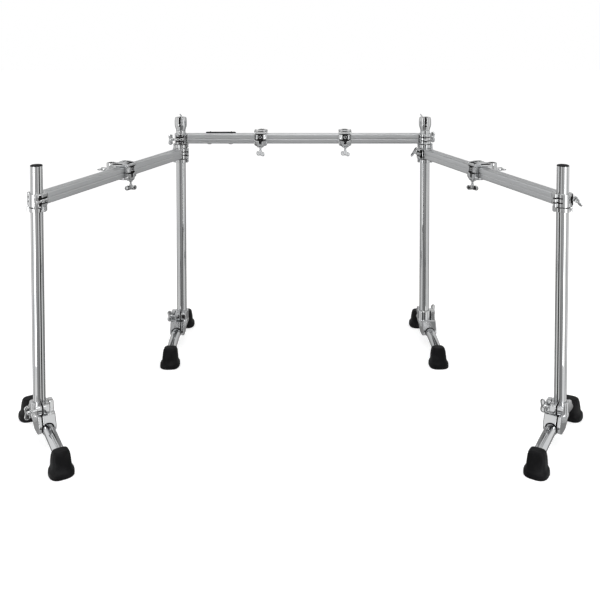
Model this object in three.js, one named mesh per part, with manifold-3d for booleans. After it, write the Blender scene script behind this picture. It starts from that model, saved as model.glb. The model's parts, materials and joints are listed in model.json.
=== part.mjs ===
// A drum rack frame: three square aluminium bars clamped to four chrome posts, each on an arched T-leg.
// Millimetres, +Z up. The floor is z = 0, -Y is the drummer's side and +X is on the right seen from there.
// The origin is on the floor under the middle of the whole frame.

import * as THREE from "three";
import { mergeVertices } from "three/addons/utils/BufferGeometryUtils.js";
import Module from "manifold-3d";

// Clearance left between two pieces that meet, and how far a cutting tool runs past what it cuts.
const FIT = 0.3;
const OVERRUN = 5;
// Edges shorter than this, left over where two forms cross, are merged away.
const SLIVER = 0.02;

// Facets round a full circle, by how large the round form is.
const LARGE_FACETS = 20;
const MEDIUM_FACETS = 10;
const SMALL_FACETS = 8;
const STEM_FACETS = 6;
const CORNER_STEPS = 1;
const BAR_CORNER_STEPS = 2;
const THROAT_STEPS = 2;
const LOBE_STEPS = 3;
const KNUCKLE_STEPS = 4;
const LOCK_ARC_STEPS = 5;
const HEXAGON = 6;
const SQUARE = 4;

// Posts. The front ones rise over the side bars' middle, and the back ones over the front bar's middle.
const POST_DIAMETER = 38.1;
const POST_WALL = 2;
const FRONT_POST_RISE = 105;
const BACK_POST_RISE = 32.5;
const CAP_RIM = 1.2;
const CAP_DOME = 3;
const CAP_PLUG = 14;

// Bars: square extrusions with rounded corners and one shallow groove along the middle of each face.
const BAR_SIDE = 38;
const BAR_WALL = 2.4;
const BAR_CORNER = 5;
const GROOVE_WIDTH = 6;
const GROOVE_DEPTH = 1;
const FRONT_BAR_LENGTH = 914;
const SIDE_BAR_LENGTH = 762;
const SIDE_BAR_HEIGHT = 775;
const FRONT_BAR_RISE = 59;
const SIDE_BAR_TURN_DEGREES = 23.5;

// The clamp at each bar end: a band round the post, an ear pair with a wing bolt, and a hinge knuckle.
const BAND_WALL = 5.2;
const BAND_HEIGHT = 41;
const POST_TO_BAR_END = 29;
const BAR_FLANGE = 7;
const TENON_LENGTH = 30;
const TENON_CLEARANCE = 1.6;
const EAR_HEIGHT = 27;
const EAR_THICKNESS = 9.5;
const EAR_EDGE = 8;
const EAR_ROUND_SHARE = 0.25;
const EAR_SLIT = 4.5;
const KNUCKLE_RADIUS = 6.5;
const KNUCKLE_REACH = 29.5;
const KNUCKLE_PLATE = 9;
const KNUCKLE_GAP = 1.6;
const KNUCKLE_GAP_DEPTH = 9;
const KNUCKLE_GAP_SHARE = 0.167;
const CLAMP_BOLT_OFFSET = 29;

// Wing bolts.
const BOLT_DIAMETER = 8;
const BOLT_CLEARANCE = 0.4;
const BOLT_TAIL = 4;
const WING_SPAN = 44;
const WING_HEIGHT = 18;
const WING_WAIST = 12;
const WING_THICKNESS = 5;
const WING_HUB_DIAMETER = 13;
const WAIST_SHARE = 0.8;
const LOBE_LEAN_DEGREES = 18;
const BAR_CLAMP_WING_NECK = 15;
const RIGHT_BAR_WING_TURN_DEGREES = 36;

// The memory lock under each clamp.
const LOCK_HEIGHT = 16;
const LOCK_WALL = 4.2;
const LOCK_SLIT = 3;
const LOCK_EAR_REACH = 30;
const LOCK_EAR_DEPTH = 9;
const LOCK_KEY_DIAMETER = 6;
const LOCK_KEY_HEAD = 5;
const LOCK_KEY_OFFSET = 25;

// The T-leg: a casting that holds the post above and, a little to one side, an arched tube below.
const LEG_TUBE_DIAMETER = 35;
const LEG_TUBE_WALL = 2;
const LEG_ARCH_RADIUS = 900;
const LEG_APEX_HEIGHT = 68;
const LEG_TUBE_REACH = 190;
const LEG_TUBE_SHIFT = 15;
const LEG_TUBE_STEPS = 4;
const LEG_PASSAGE_STEPS = 2;
const POST_OVER_LEG_TUBE = 5;
const COLLAR_WALL = 6.5;
const COLLAR_TOP = 143;
const COLLAR_CHAMFER = 2.5;
const LEG_EAR_HEIGHT = 30;
const LEG_EAR_REACH = 46;
const LEG_EAR_WIDTH = 42;
const LEG_EAR_ROUND_SHARE = 0.4;
const LEG_BOLT_OFFSET = 33;
const LEG_SLIT = 4;
const SADDLE_WIDTH = 53;
const SADDLE_TOP = 104;
const SADDLE_BOTTOM = 44;
const SADDLE_REACH = 46;
const SADDLE_FOOT = 20;
const SADDLE_SHOULDER = 62;
const LEG_NUT_RADIUS = 7.5;
const LEG_NUT_DEPTH = 5;
const LEG_WING_NECK = 14;

// How far each T-leg is turned: the angle from the line of the front posts to its drummer's side foot.
const LEFT_FRONT_LEG_DEGREES = 58.5;
const RIGHT_FRONT_LEG_DEGREES = 58.5;
const LEFT_BACK_LEG_DEGREES = 90;
const RIGHT_BACK_LEG_DEGREES = 94.5;

// Rubber boots.
const BOOT_PAST_TUBE = 4;
const BOOT_CENTRE = LEG_TUBE_REACH + BOOT_PAST_TUBE;
const BOOT_LENGTH = 76;
const BOOT_WIDTH = 75;
const BOOT_HEIGHT = 70;
const BOOT_FACETS = 12;
const BOOT_SQUARENESS = 2.5;
// Levels of the boot: height, then inner end, outer end and half width, as shares of its own sizes.
const BOOT_LEVEL_SHARES = [
  { up: 0, inner: -0.48, outer: 0.49, half: 0.49 },
  { up: 0.16, inner: -0.5, outer: 0.5, half: 0.5 },
  { up: 0.29, inner: -0.46, outer: 0.43, half: 0.43 },
  { up: 0.82, inner: -0.36, outer: 0.22, half: 0.33 },
  { up: 1, inner: -0.25, outer: 0.06, half: 0.22 },
];

// The tube holder on each back post.
const HOLDER_HEIGHT = 52;
const HOLDER_RADIUS = 24.6;
const HOLDER_BORE_DIAMETER = 26;
const HOLDER_BORE_DEPTH = 44;
const HOLDER_PLUG = 28;
const HOLDER_SLOT_WIDTH = 6;
const HOLDER_SLOT_DEPTH = 26;
const HOLDER_BOSS_DIAMETER = 17;
const HOLDER_BOSS_REACH = 33;
const HOLDER_BOLT_HEIGHT = 40;
const HOLDER_SCREW_BOSS_DIAMETER = 11;
const HOLDER_SCREW_BOSS_REACH = 27;
const HOLDER_WING_NECK = 9;
const HOLDER_WING_TURN_DEGREES = 55;
// The barrel's outline: radius and height as shares of the barrel's radius and height.
const BARREL_SHARES = [
  { out: 0.82, up: 0.12 },
  { out: 1, up: 0.4 },
  { out: 1, up: 0.78 },
  { out: 0.9, up: 1 },
];

// Accessory clamps that ride on the bars.
const ACCESSORY_WIDTH = 50;
const JAW_THICKNESS = 7.5;
const JAW_FRONT_REACH = 35;
const JAW_BACK_REACH = 46;
const JAW_RIB_WIDTH = 7;
const JAW_RIB_RISE = 8;
const JAW_GAP = 3;
const JAW_WINDOW_WIDTH = 19;
const JAW_WINDOW_LENGTH = 38;
const CHEEK_WIDTH = 14;
const LOWER_CHEEK_DROP = 4;
const ACCESSORY_BOLT_OFFSET = 27.5;
const ACCESSORY_WING_NECK = 13;
const ACCESSORY_WING_TURN_DEGREES = 40;
const TRUNNION_DIAMETER = 13;
const SOCKET_OFFSET = 56;
const SOCKET_BORE_DIAMETER = 22.6;
const SOCKET_WALL = 6;
const SOCKET_HEIGHT = 40;
const SOCKET_SCREW_NECK = 12;
const SOCKET_SEAT = 4;
const WINDOW_MARGIN = 4;
const FRONT_ACCESSORY_PLACE = 167.5;
const SIDE_ACCESSORY_PLACE = 447;

// Sizes that follow from the ones above.
const QUARTER = Math.PI / 2;
const POST_RADIUS = POST_DIAMETER / 2;
const POST_BORE_RADIUS = POST_RADIUS + FIT;
const POST_INNER_RADIUS = POST_RADIUS - POST_WALL;
const POST_BOTTOM = LEG_APEX_HEIGHT + LEG_TUBE_DIAMETER / 2 + POST_OVER_LEG_TUBE;
const BAND_RADIUS = POST_BORE_RADIUS + BAND_WALL;
const BOLT_RADIUS = BOLT_DIAMETER / 2;
const BOLT_HOLE_RADIUS = BOLT_RADIUS + BOLT_CLEARANCE;
const { degToRad } = THREE.MathUtils;
const SIDE_BAR_TURN = degToRad(SIDE_BAR_TURN_DEGREES);
const ACCESSORY_WING_TURN = degToRad(ACCESSORY_WING_TURN_DEGREES);
const FRONT_BAR_HEIGHT = SIDE_BAR_HEIGHT + FRONT_BAR_RISE;
const FRONT_POST_TOP = SIDE_BAR_HEIGHT + FRONT_POST_RISE;
const BACK_POST_TOP = FRONT_BAR_HEIGHT + BACK_POST_RISE;
const FRONT_SPAN = FRONT_BAR_LENGTH + 2 * POST_TO_BAR_END;
const SIDE_SPAN = SIDE_BAR_LENGTH + 2 * POST_TO_BAR_END;
const BACK_POST_X = FRONT_SPAN / 2;
const FRONT_POST_X = BACK_POST_X + SIDE_SPAN * Math.sin(SIDE_BAR_TURN);
const BACK_POST_Y = SIDE_SPAN * Math.cos(SIDE_BAR_TURN);
const EAR_REACH = CLAMP_BOLT_OFFSET + EAR_EDGE;
const EAR_SPAN = EAR_THICKNESS + EAR_SLIT / 2;
const LEG_BORE_RADIUS = LEG_TUBE_DIAMETER / 2 + FIT;
const LEG_EAR_CENTRE_HEIGHT = COLLAR_TOP - LEG_EAR_HEIGHT / 2;

const JAW_SIDE = BAR_SIDE / 2 + FIT;
const JAW_TOP = JAW_SIDE + JAW_THICKNESS;
const TRUNNION_HEIGHT = JAW_SIDE / 2 + JAW_GAP;
// From an accessory clamp's middle down to its wing bolt's seat, and up to the bolt's tail.
const ACCESSORY_SEAT = JAW_TOP + JAW_RIB_RISE;
const ACCESSORY_TAIL = TRUNNION_HEIGHT - FIT;

const CHROME = { color: 0xc9ccd0, roughness: 0.12, metalness: 1 };
const CAST_CHROME = { color: 0xc0c3c7, roughness: 0.2, metalness: 1 };
const ALUMINIUM = { color: 0xa6a9ac, roughness: 0.42, metalness: 1 };
const RUBBER = { color: 0x161718, roughness: 0.75, metalness: 0 };
const BLACK_PLASTIC = { color: 0x121314, roughness: 0.5, metalness: 0 };

const wasm = await Module();
wasm.setup();

// A three.js geometry as a solid that can be joined and cut.
function solid(geometry) {
  const bare = geometry.clone();
  bare.deleteAttribute("normal");
  bare.deleteAttribute("uv");
  const merged = mergeVertices(bare);
  return new wasm.Manifold(
    new wasm.Mesh({
      numProp: 3,
      vertProperties: merged.attributes.position.array,
      triVerts: new Uint32Array(merged.index.array),
    }),
  );
}

// The three.js geometry of a joined or cut solid.
function geometryOf(body) {
  const mesh = body.simplify(SLIVER).getMesh();
  const geometry = new THREE.BufferGeometry();
  geometry.setAttribute("position", new THREE.BufferAttribute(mesh.vertProperties, mesh.numProp));
  geometry.setIndex(new THREE.BufferAttribute(mesh.triVerts, 1));
  geometry.computeVertexNormals();
  return geometry;
}

function joined(...geometries) {
  return geometries.map(solid).reduce((whole, piece) => whole.add(piece));
}

function cut(body, ...tools) {
  return tools.map(solid).reduce((rest, tool) => rest.subtract(tool), body);
}

// A profile of radius and height pairs turned about the Z axis.
function turned(profile, facets) {
  const points = profile.map(([radius, height]) => new THREE.Vector2(radius, height));
  return new THREE.LatheGeometry(points, facets).rotateX(QUARTER);
}

// A round bar along Z from one height to another.
function rod(radius, low, high, facets) {
  return turned([[0, low], [radius, low], [radius, high], [0, high]], facets);
}

// A hollow tube along Z from one height to another.
function pipe(outer, inner, low, high, facets) {
  return turned([[inner, low], [outer, low], [outer, high], [inner, high], [inner, low]], facets);
}

function block(lowX, highX, lowY, highY, lowZ, highZ) {
  const box = new THREE.BoxGeometry(highX - lowX, highY - lowY, highZ - lowZ);
  return box.translate((lowX + highX) / 2, (lowY + highY) / 2, (lowZ + highZ) / 2);
}

// A flat outline drawn in X and Y, carried up from one height to another.
function slab(shape, low, high) {
  const options = { depth: high - low, bevelEnabled: false };
  return new THREE.ExtrudeGeometry(shape, options).translate(0, 0, low);
}

// Points along an arc, from one angle to another.
function arc(x, y, radius, from, to, steps) {
  const points = [];
  for (let step = 0; step <= steps; step += 1) {
    const angle = from + ((to - from) * step) / steps;
    points.push(new THREE.Vector2(x + radius * Math.cos(angle), y + radius * Math.sin(angle)));
  }
  return points;
}

function corner(x, y) {
  return new THREE.Vector2(x, y);
}

// A rectangle with rounded corners, centred on the given point.
function roundedRectangle(width, height, radius, centreX = 0, centreY = 0) {
  const right = width / 2 - radius;
  const top = height / 2 - radius;
  return new THREE.Shape([
    ...arc(centreX + right, centreY - top, radius, -QUARTER, 0, CORNER_STEPS),
    ...arc(centreX + right, centreY + top, radius, 0, QUARTER, CORNER_STEPS),
    ...arc(centreX - right, centreY + top, radius, QUARTER, 2 * QUARTER, CORNER_STEPS),
    ...arc(centreX - right, centreY - top, radius, 2 * QUARTER, 3 * QUARTER, CORNER_STEPS),
  ]);
}

// The round hole for a bolt, in an outline.
function boltHole(x, y) {
  const last = 4 * QUARTER * (1 - 1 / SMALL_FACETS);
  return new THREE.Path(arc(x, y, BOLT_HOLE_RADIUS, last, 0, SMALL_FACETS - 1));
}

// A straight post tube with its lower end at z = 0.
function postGeometry(top) {
  return pipe(POST_RADIUS, POST_INNER_RADIUS, 0, top - POST_BOTTOM, LARGE_FACETS);
}

// The push-in cap on a front post, with its seat on the tube at z = 0.
function capGeometry() {
  const plug = POST_INNER_RADIUS - FIT;
  return turned(
    [
      [0, -CAP_PLUG],
      [plug, -CAP_PLUG],
      [plug, FIT],
      [POST_RADIUS, FIT],
      [POST_RADIUS, FIT + CAP_RIM],
      [POST_RADIUS - CAP_DOME, FIT + CAP_RIM + CAP_DOME * Math.sin(Math.PI / 4)],
      [0, FIT + CAP_RIM + CAP_DOME],
    ],
    LARGE_FACETS,
  );
}

// The bar's outline: a shallow groove along the middle of each side, and rounded corners.
function barOutline() {
  const half = BAR_SIDE / 2;
  const flat = half - BAR_CORNER;
  const middle = corner(0, 0);
  const points = [];
  for (let side = 0; side < 4; side += 1) {
    const face = [
      corner(half, -GROOVE_WIDTH / 2),
      corner(half - GROOVE_DEPTH, GROOVE_DEPTH - GROOVE_WIDTH / 2),
      corner(half - GROOVE_DEPTH, GROOVE_WIDTH / 2 - GROOVE_DEPTH),
      corner(half, GROOVE_WIDTH / 2),
      ...arc(flat, flat, BAR_CORNER, 0, QUARTER, BAR_CORNER_STEPS),
    ];
    face.forEach((point) => points.push(point.rotateAround(middle, side * QUARTER)));
  }
  return new THREE.Shape(points);
}

// A hollow bar along X with its middle at the origin.
function barGeometry(length) {
  const shape = barOutline();
  const inner = BAR_SIDE - 2 * BAR_WALL;
  shape.holes.push(roundedRectangle(inner, inner, BAR_CORNER - BAR_WALL));
  return slab(shape, -length / 2, length / 2).rotateY(QUARTER);
}

// A wing bolt along Z: the tail at the lower end, the neck leaving its seat at z = 0, and the wings on top.
function wingBoltGeometry(grip, neck) {
  const hubRadius = WING_HUB_DIAMETER / 2;
  const stem = turned(
    [
      [0, -grip],
      [BOLT_RADIUS, -grip],
      [BOLT_RADIUS, neck - WING_WAIST / 2],
      [hubRadius, neck],
      [hubRadius, neck + WING_WAIST],
      [0, neck + WING_WAIST],
    ],
    STEM_FACETS,
  );
  const lobe = WING_HEIGHT / 2;
  const out = WING_SPAN / 2 - lobe;
  const lean = degToRad(LOBE_LEAN_DEGREES);
  const shape = new THREE.Shape([
    corner(-hubRadius, neck + WING_WAIST / 4),
    corner(hubRadius, neck + WING_WAIST / 4),
    ...arc(out, neck + lobe, lobe, -QUARTER, QUARTER + lean, LOBE_STEPS),
    corner(0, neck + WING_WAIST * WAIST_SHARE),
    ...arc(-out, neck + lobe, lobe, QUARTER - lean, 3 * QUARTER, LOBE_STEPS),
  ]);
  const wings = slab(shape, -WING_THICKNESS / 2, WING_THICKNESS / 2).rotateX(QUARTER);
  return geometryOf(joined(stem, wings));
}

// The bar clamp seen from above: the split band, the throat towards the bar, and the hinge knuckle at +Y.
function bandOutline(throatReach) {
  const open = Math.asin(EAR_SLIT / 2 / BAND_RADIUS);
  const openInside = Math.asin(EAR_SLIT / 2 / POST_BORE_RADIUS);
  const throat = Math.asin(POST_RADIUS / BAND_RADIUS);
  const web = Math.asin(KNUCKLE_PLATE / 2 / BAND_RADIUS);
  const round = Math.acos(KNUCKLE_PLATE / 2 / KNUCKLE_RADIUS);
  return new THREE.Shape([
    ...arc(0, 0, BAND_RADIUS, open - QUARTER, -throat, THROAT_STEPS),
    corner(throatReach, -POST_RADIUS),
    corner(throatReach, POST_RADIUS),
    ...arc(0, 0, BAND_RADIUS, throat, QUARTER - web, THROAT_STEPS),
    ...arc(0, KNUCKLE_REACH, KNUCKLE_RADIUS, -round, 2 * QUARTER + round, KNUCKLE_STEPS),
    ...arc(0, 0, BAND_RADIUS, QUARTER + web, 3 * QUARTER - open, LARGE_FACETS / 2),
    ...arc(0, 0, POST_BORE_RADIUS, 3 * QUARTER - openInside, openInside - QUARTER, LARGE_FACETS),
  ]);
}

// A clamp at a bar end. The post runs along Z through the origin and the bar leaves along X.
function barClampGeometry() {
  const half = BAND_HEIGHT / 2;
  const barFace = POST_TO_BAR_END - FIT;
  const flangeMiddle = barFace - BAR_FLANGE / 2;
  const band = slab(bandOutline(flangeMiddle), -half, half);
  const flangeShape = roundedRectangle(BAR_SIDE, BAR_SIDE, BAR_CORNER);
  const flange = slab(flangeShape, barFace - BAR_FLANGE, barFace).rotateY(QUARTER);
  const inner = BAR_SIDE / 2 - BAR_WALL - TENON_CLEARANCE;
  const tenon = block(flangeMiddle, barFace + TENON_LENGTH, -inner, inner, -inner, inner);
  const earRound = EAR_HEIGHT * EAR_ROUND_SHARE;
  const earTop = EAR_HEIGHT / 2 - earRound;
  const earShape = new THREE.Shape([
    corner(-POST_BORE_RADIUS, -EAR_HEIGHT / 2),
    corner(-POST_BORE_RADIUS, EAR_HEIGHT / 2),
    ...arc(earRound - EAR_REACH, earTop, earRound, QUARTER, 2 * QUARTER, CORNER_STEPS),
    ...arc(earRound - EAR_REACH, -earTop, earRound, 2 * QUARTER, 3 * QUARTER, CORNER_STEPS),
  ]);
  earShape.holes.push(boltHole(-CLAMP_BOLT_OFFSET, 0));
  const ears = [-EAR_SPAN, EAR_SLIT / 2].map((low) =>
    slab(earShape, low, low + EAR_THICKNESS).rotateX(QUARTER).rotateZ(QUARTER),
  );
  const outer = KNUCKLE_REACH + KNUCKLE_RADIUS;
  const gapSide = KNUCKLE_RADIUS + OVERRUN;
  const gaps = [-1, 1].map((hand) => {
    const low = hand * KNUCKLE_GAP_SHARE * BAND_HEIGHT - KNUCKLE_GAP / 2;
    return block(-gapSide, gapSide, outer - KNUCKLE_GAP_DEPTH, outer + OVERRUN, low, low + KNUCKLE_GAP);
  });
  return geometryOf(cut(joined(band, flange, tenon, ...ears), ...gaps));
}

// A memory lock seen from above: a split ring with a pair of ears at +X and a knuckle at -X.
function lockOutline() {
  const radius = POST_BORE_RADIUS + LOCK_WALL;
  const earHalf = LOCK_EAR_DEPTH + LOCK_SLIT / 2;
  const ear = Math.asin(earHalf / radius);
  const open = Math.asin(LOCK_SLIT / 2 / POST_BORE_RADIUS);
  const round = LOCK_EAR_DEPTH / 2;
  const reach = LOCK_EAR_REACH - round;
  const side = earHalf - round;
  return new THREE.Shape([
    corner(LOCK_EAR_REACH, LOCK_SLIT / 2),
    ...arc(reach, side, round, 0, QUARTER, CORNER_STEPS),
    ...arc(0, 0, radius, ear, 2 * QUARTER - ear, LOCK_ARC_STEPS),
    ...arc(-reach, side, round, QUARTER, 2 * QUARTER, CORNER_STEPS),
    ...arc(-reach, -side, round, 2 * QUARTER, 3 * QUARTER, CORNER_STEPS),
    ...arc(0, 0, radius, 2 * QUARTER + ear, 4 * QUARTER - ear, LOCK_ARC_STEPS),
    ...arc(reach, -side, round, 3 * QUARTER, 4 * QUARTER, CORNER_STEPS),
    corner(LOCK_EAR_REACH, -LOCK_SLIT / 2),
    ...arc(0, 0, POST_BORE_RADIUS, 4 * QUARTER - open, open, LARGE_FACETS),
  ]);
}

// A memory lock with the square-headed key bolt that closes it.
function memoryLockGeometry() {
  const ring = slab(lockOutline(), -LOCK_HEIGHT / 2, LOCK_HEIGHT / 2);
  const ear = LOCK_EAR_DEPTH + LOCK_SLIT / 2;
  const key = rod(LOCK_KEY_DIAMETER / 2, -ear - LOCK_KEY_HEAD, ear / 2, SQUARE).rotateX(-QUARTER);
  return geometryOf(joined(ring, key.translate(LOCK_KEY_OFFSET, 0, 0)));
}

// The point on the leg tube's centre line a given way out from the post.
function archPoint(out) {
  const rise = Math.sqrt(LEG_ARCH_RADIUS ** 2 - out ** 2) - LEG_ARCH_RADIUS;
  return new THREE.Vector3(out, 0, LEG_APEX_HEIGHT + rise);
}

// The arched leg tube along X, or the round tool that clears the way for it.
function legTubeGeometry(radius, inner, reach, steps) {
  const points = [];
  for (let step = 0; step <= steps; step += 1)
    points.push(archPoint(reach * ((2 * step) / steps - 1)));
  const path = new THREE.CatmullRomCurve3(points);
  const last = 4 * QUARTER * (1 - 1 / MEDIUM_FACETS);
  const shape = new THREE.Shape(arc(0, 0, radius, 0, last, MEDIUM_FACETS - 1));
  if (inner > 0) shape.holes.push(new THREE.Path(arc(0, 0, inner, last, 0, MEDIUM_FACETS - 1)));
  const options = { steps, extrudePath: path };
  return new THREE.ExtrudeGeometry(shape, options);
}

// The T-leg casting round the post, with its split side towards +X and the wing bolt across the split.
// The saddle and the way for the tube stand off the post's axis by the shift, along Y.
function legCastingGeometry(shift) {
  const collarRadius = POST_BORE_RADIUS + COLLAR_WALL;
  const collar = turned(
    [
      [0, LEG_APEX_HEIGHT],
      [collarRadius, LEG_APEX_HEIGHT],
      [collarRadius, COLLAR_TOP - COLLAR_CHAMFER],
      [collarRadius - COLLAR_CHAMFER, COLLAR_TOP],
      [0, COLLAR_TOP],
    ],
    LARGE_FACETS,
  );
  const earBottom = COLLAR_TOP - LEG_EAR_HEIGHT;
  const earRound = LEG_EAR_HEIGHT * LEG_EAR_ROUND_SHARE;
  const earShape = new THREE.Shape([
    corner(0, earBottom),
    ...arc(LEG_EAR_REACH - earRound, earBottom + earRound, earRound, -QUARTER, 0, BAR_CORNER_STEPS),
    ...arc(LEG_EAR_REACH - earRound, COLLAR_TOP - earRound, earRound, 0, QUARTER, BAR_CORNER_STEPS),
    corner(0, COLLAR_TOP),
  ]);
  const ears = slab(earShape, -LEG_EAR_WIDTH / 2, LEG_EAR_WIDTH / 2).rotateX(QUARTER);
  const round = SADDLE_REACH - collarRadius;
  const saddleShape = new THREE.Shape([
    corner(-SADDLE_FOOT, SADDLE_BOTTOM),
    corner(SADDLE_FOOT, SADDLE_BOTTOM),
    corner(SADDLE_REACH, SADDLE_SHOULDER),
    ...arc(collarRadius, SADDLE_TOP - round, round, 0, QUARTER, BAR_CORNER_STEPS),
    ...arc(-collarRadius, SADDLE_TOP - round, round, QUARTER, 2 * QUARTER, BAR_CORNER_STEPS),
    corner(-SADDLE_REACH, SADDLE_SHOULDER),
  ]);
  const saddle = slab(saddleShape, -SADDLE_WIDTH / 2, SADDLE_WIDTH / 2).rotateX(QUARTER);
  saddle.translate(0, shift, 0);
  const whole = joined(collar, ears, saddle);
  const bore = rod(POST_BORE_RADIUS, POST_BOTTOM - FIT, COLLAR_TOP + OVERRUN, LARGE_FACETS);
  const clearReach = (LEG_TUBE_REACH * LEG_PASSAGE_STEPS) / LEG_TUBE_STEPS;
  const passage = legTubeGeometry(LEG_BORE_RADIUS, 0, clearReach, LEG_PASSAGE_STEPS);
  passage.translate(0, shift, 0);
  const slitEnd = LEG_EAR_REACH + OVERRUN;
  const slitTop = COLLAR_TOP + OVERRUN;
  const slit = block(0, slitEnd, -LEG_SLIT / 2, LEG_SLIT / 2, LEG_APEX_HEIGHT, slitTop);
  const width = LEG_EAR_WIDTH / 2 + OVERRUN;
  const hole = rod(BOLT_HOLE_RADIUS, -width, width, SMALL_FACETS).rotateX(QUARTER);
  hole.translate(LEG_BOLT_OFFSET, 0, LEG_EAR_CENTRE_HEIGHT);
  const nut = rod(LEG_NUT_RADIUS, -width, LEG_NUT_DEPTH - LEG_EAR_WIDTH / 2, HEXAGON).rotateX(QUARTER);
  nut.translate(LEG_BOLT_OFFSET, 0, LEG_EAR_CENTRE_HEIGHT);
  return geometryOf(cut(whole, bore, passage, slit, hole, nut));
}

// One closed ring of the boot's outline: a rounded square that gets its length and width from its level.
function bootRing(level) {
  const inner = BOOT_CENTRE + level.inner * BOOT_LENGTH;
  const outer = BOOT_CENTRE + level.outer * BOOT_LENGTH;
  const ring = [];
  for (let facet = 0; facet < BOOT_FACETS; facet += 1) {
    const angle = (2 * Math.PI * facet) / BOOT_FACETS;
    const swell = (value) => Math.sign(value) * Math.abs(value) ** (2 / BOOT_SQUARENESS);
    const x = (inner + outer) / 2 + (swell(Math.cos(angle)) * (outer - inner)) / 2;
    const y = swell(Math.sin(angle)) * level.half * BOOT_WIDTH;
    ring.push(new THREE.Vector3(x, y, level.up * BOOT_HEIGHT));
  }
  return ring;
}

// A boot lofted through its levels, closed by a flat sole and a flat top.
function loftedBoot() {
  const rings = BOOT_LEVEL_SHARES.map(bootRing);
  const positions = rings.flat().flatMap((point) => point.toArray());
  const index = [];
  const count = BOOT_FACETS;
  for (let level = 0; level + 1 < rings.length; level += 1)
    for (let facet = 0; facet < count; facet += 1) {
      const a = level * count + facet;
      const b = level * count + ((facet + 1) % count);
      index.push(a, b, a + count, b, b + count, a + count);
    }
  const last = (rings.length - 1) * count;
  for (let facet = 1; facet + 1 < count; facet += 1) {
    index.push(0, facet + 1, facet);
    index.push(last, last + facet, last + facet + 1);
  }
  const geometry = new THREE.BufferGeometry();
  geometry.setAttribute("position", new THREE.Float32BufferAttribute(positions, 3));
  geometry.setIndex(index);
  return geometry;
}

// A boot on the +X end of the leg tube, with a blind socket for the tube.
function bootGeometry() {
  const end = archPoint(LEG_TUBE_REACH);
  const before = archPoint(LEG_TUBE_REACH * (1 - 2 / LEG_TUBE_STEPS));
  const slope = Math.atan2(before.z - end.z, end.x - before.x);
  const socket = rod(LEG_BORE_RADIUS, before.x - end.x, FIT, MEDIUM_FACETS);
  socket.rotateY(QUARTER + slope).translate(end.x, 0, end.z);
  return geometryOf(cut(solid(loftedBoot()), socket));
}

// The holder in the top of a back post, with its seat on the post at z = 0.
function tubeHolderGeometry() {
  const profile = [
    [0, -HOLDER_PLUG],
    [POST_INNER_RADIUS - FIT, -HOLDER_PLUG],
    [POST_INNER_RADIUS - FIT, FIT],
    [POST_RADIUS, FIT],
  ];
  BARREL_SHARES.forEach((share) => profile.push([share.out * HOLDER_RADIUS, share.up * HOLDER_HEIGHT]));
  profile.push([0, HOLDER_HEIGHT]);
  const barrel = turned(profile, LARGE_FACETS);
  const boss = rod(HOLDER_BOSS_DIAMETER / 2, 0, HOLDER_BOSS_REACH, SMALL_FACETS);
  boss.rotateX(-QUARTER).translate(0, 0, HOLDER_BOLT_HEIGHT);
  const screwBoss = rod(HOLDER_SCREW_BOSS_DIAMETER / 2, 0, HOLDER_SCREW_BOSS_REACH, SMALL_FACETS);
  const screwHeight = HOLDER_HEIGHT - HOLDER_SLOT_DEPTH - HOLDER_SCREW_BOSS_DIAMETER / 2;
  screwBoss.rotateX(QUARTER).translate(0, 0, screwHeight);
  const bore = rod(
    HOLDER_BORE_DIAMETER / 2,
    HOLDER_HEIGHT - HOLDER_BORE_DEPTH,
    HOLDER_HEIGHT + OVERRUN,
    MEDIUM_FACETS,
  );
  const slot = block(
    -HOLDER_SLOT_WIDTH / 2,
    HOLDER_SLOT_WIDTH / 2,
    -HOLDER_RADIUS - OVERRUN,
    0,
    HOLDER_HEIGHT - HOLDER_SLOT_DEPTH,
    HOLDER_HEIGHT + OVERRUN,
  );
  const hole = rod(BOLT_HOLE_RADIUS, 0, HOLDER_BOSS_REACH + OVERRUN, SMALL_FACETS);
  hole.rotateX(-QUARTER).translate(0, 0, HOLDER_BOLT_HEIGHT);
  return geometryOf(cut(joined(barrel, boss, screwBoss), bore, slot, hole));
}

// The same block on the left and on the right of a clamp, from one distance out to another.
function blockPair(near, far, lowY, highY, lowZ, highZ) {
  const left = block(-far, -near, lowY, highY, lowZ, highZ);
  const right = block(near, far, lowY, highY, lowZ, highZ);
  return [left, right];
}

// The side view of an accessory clamp's jaws, open at the front: Y towards the socket, and Z up.
function jawOutline(side, top) {
  return new THREE.Shape([
    corner(-JAW_FRONT_REACH, side),
    corner(side, side),
    corner(side, -side),
    corner(-JAW_FRONT_REACH, -side),
    corner(-JAW_FRONT_REACH, -top),
    corner(top, -top),
    corner(top, side),
    corner(JAW_BACK_REACH, side),
    corner(JAW_BACK_REACH, top),
    corner(-JAW_FRONT_REACH, top),
  ]);
}

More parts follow.
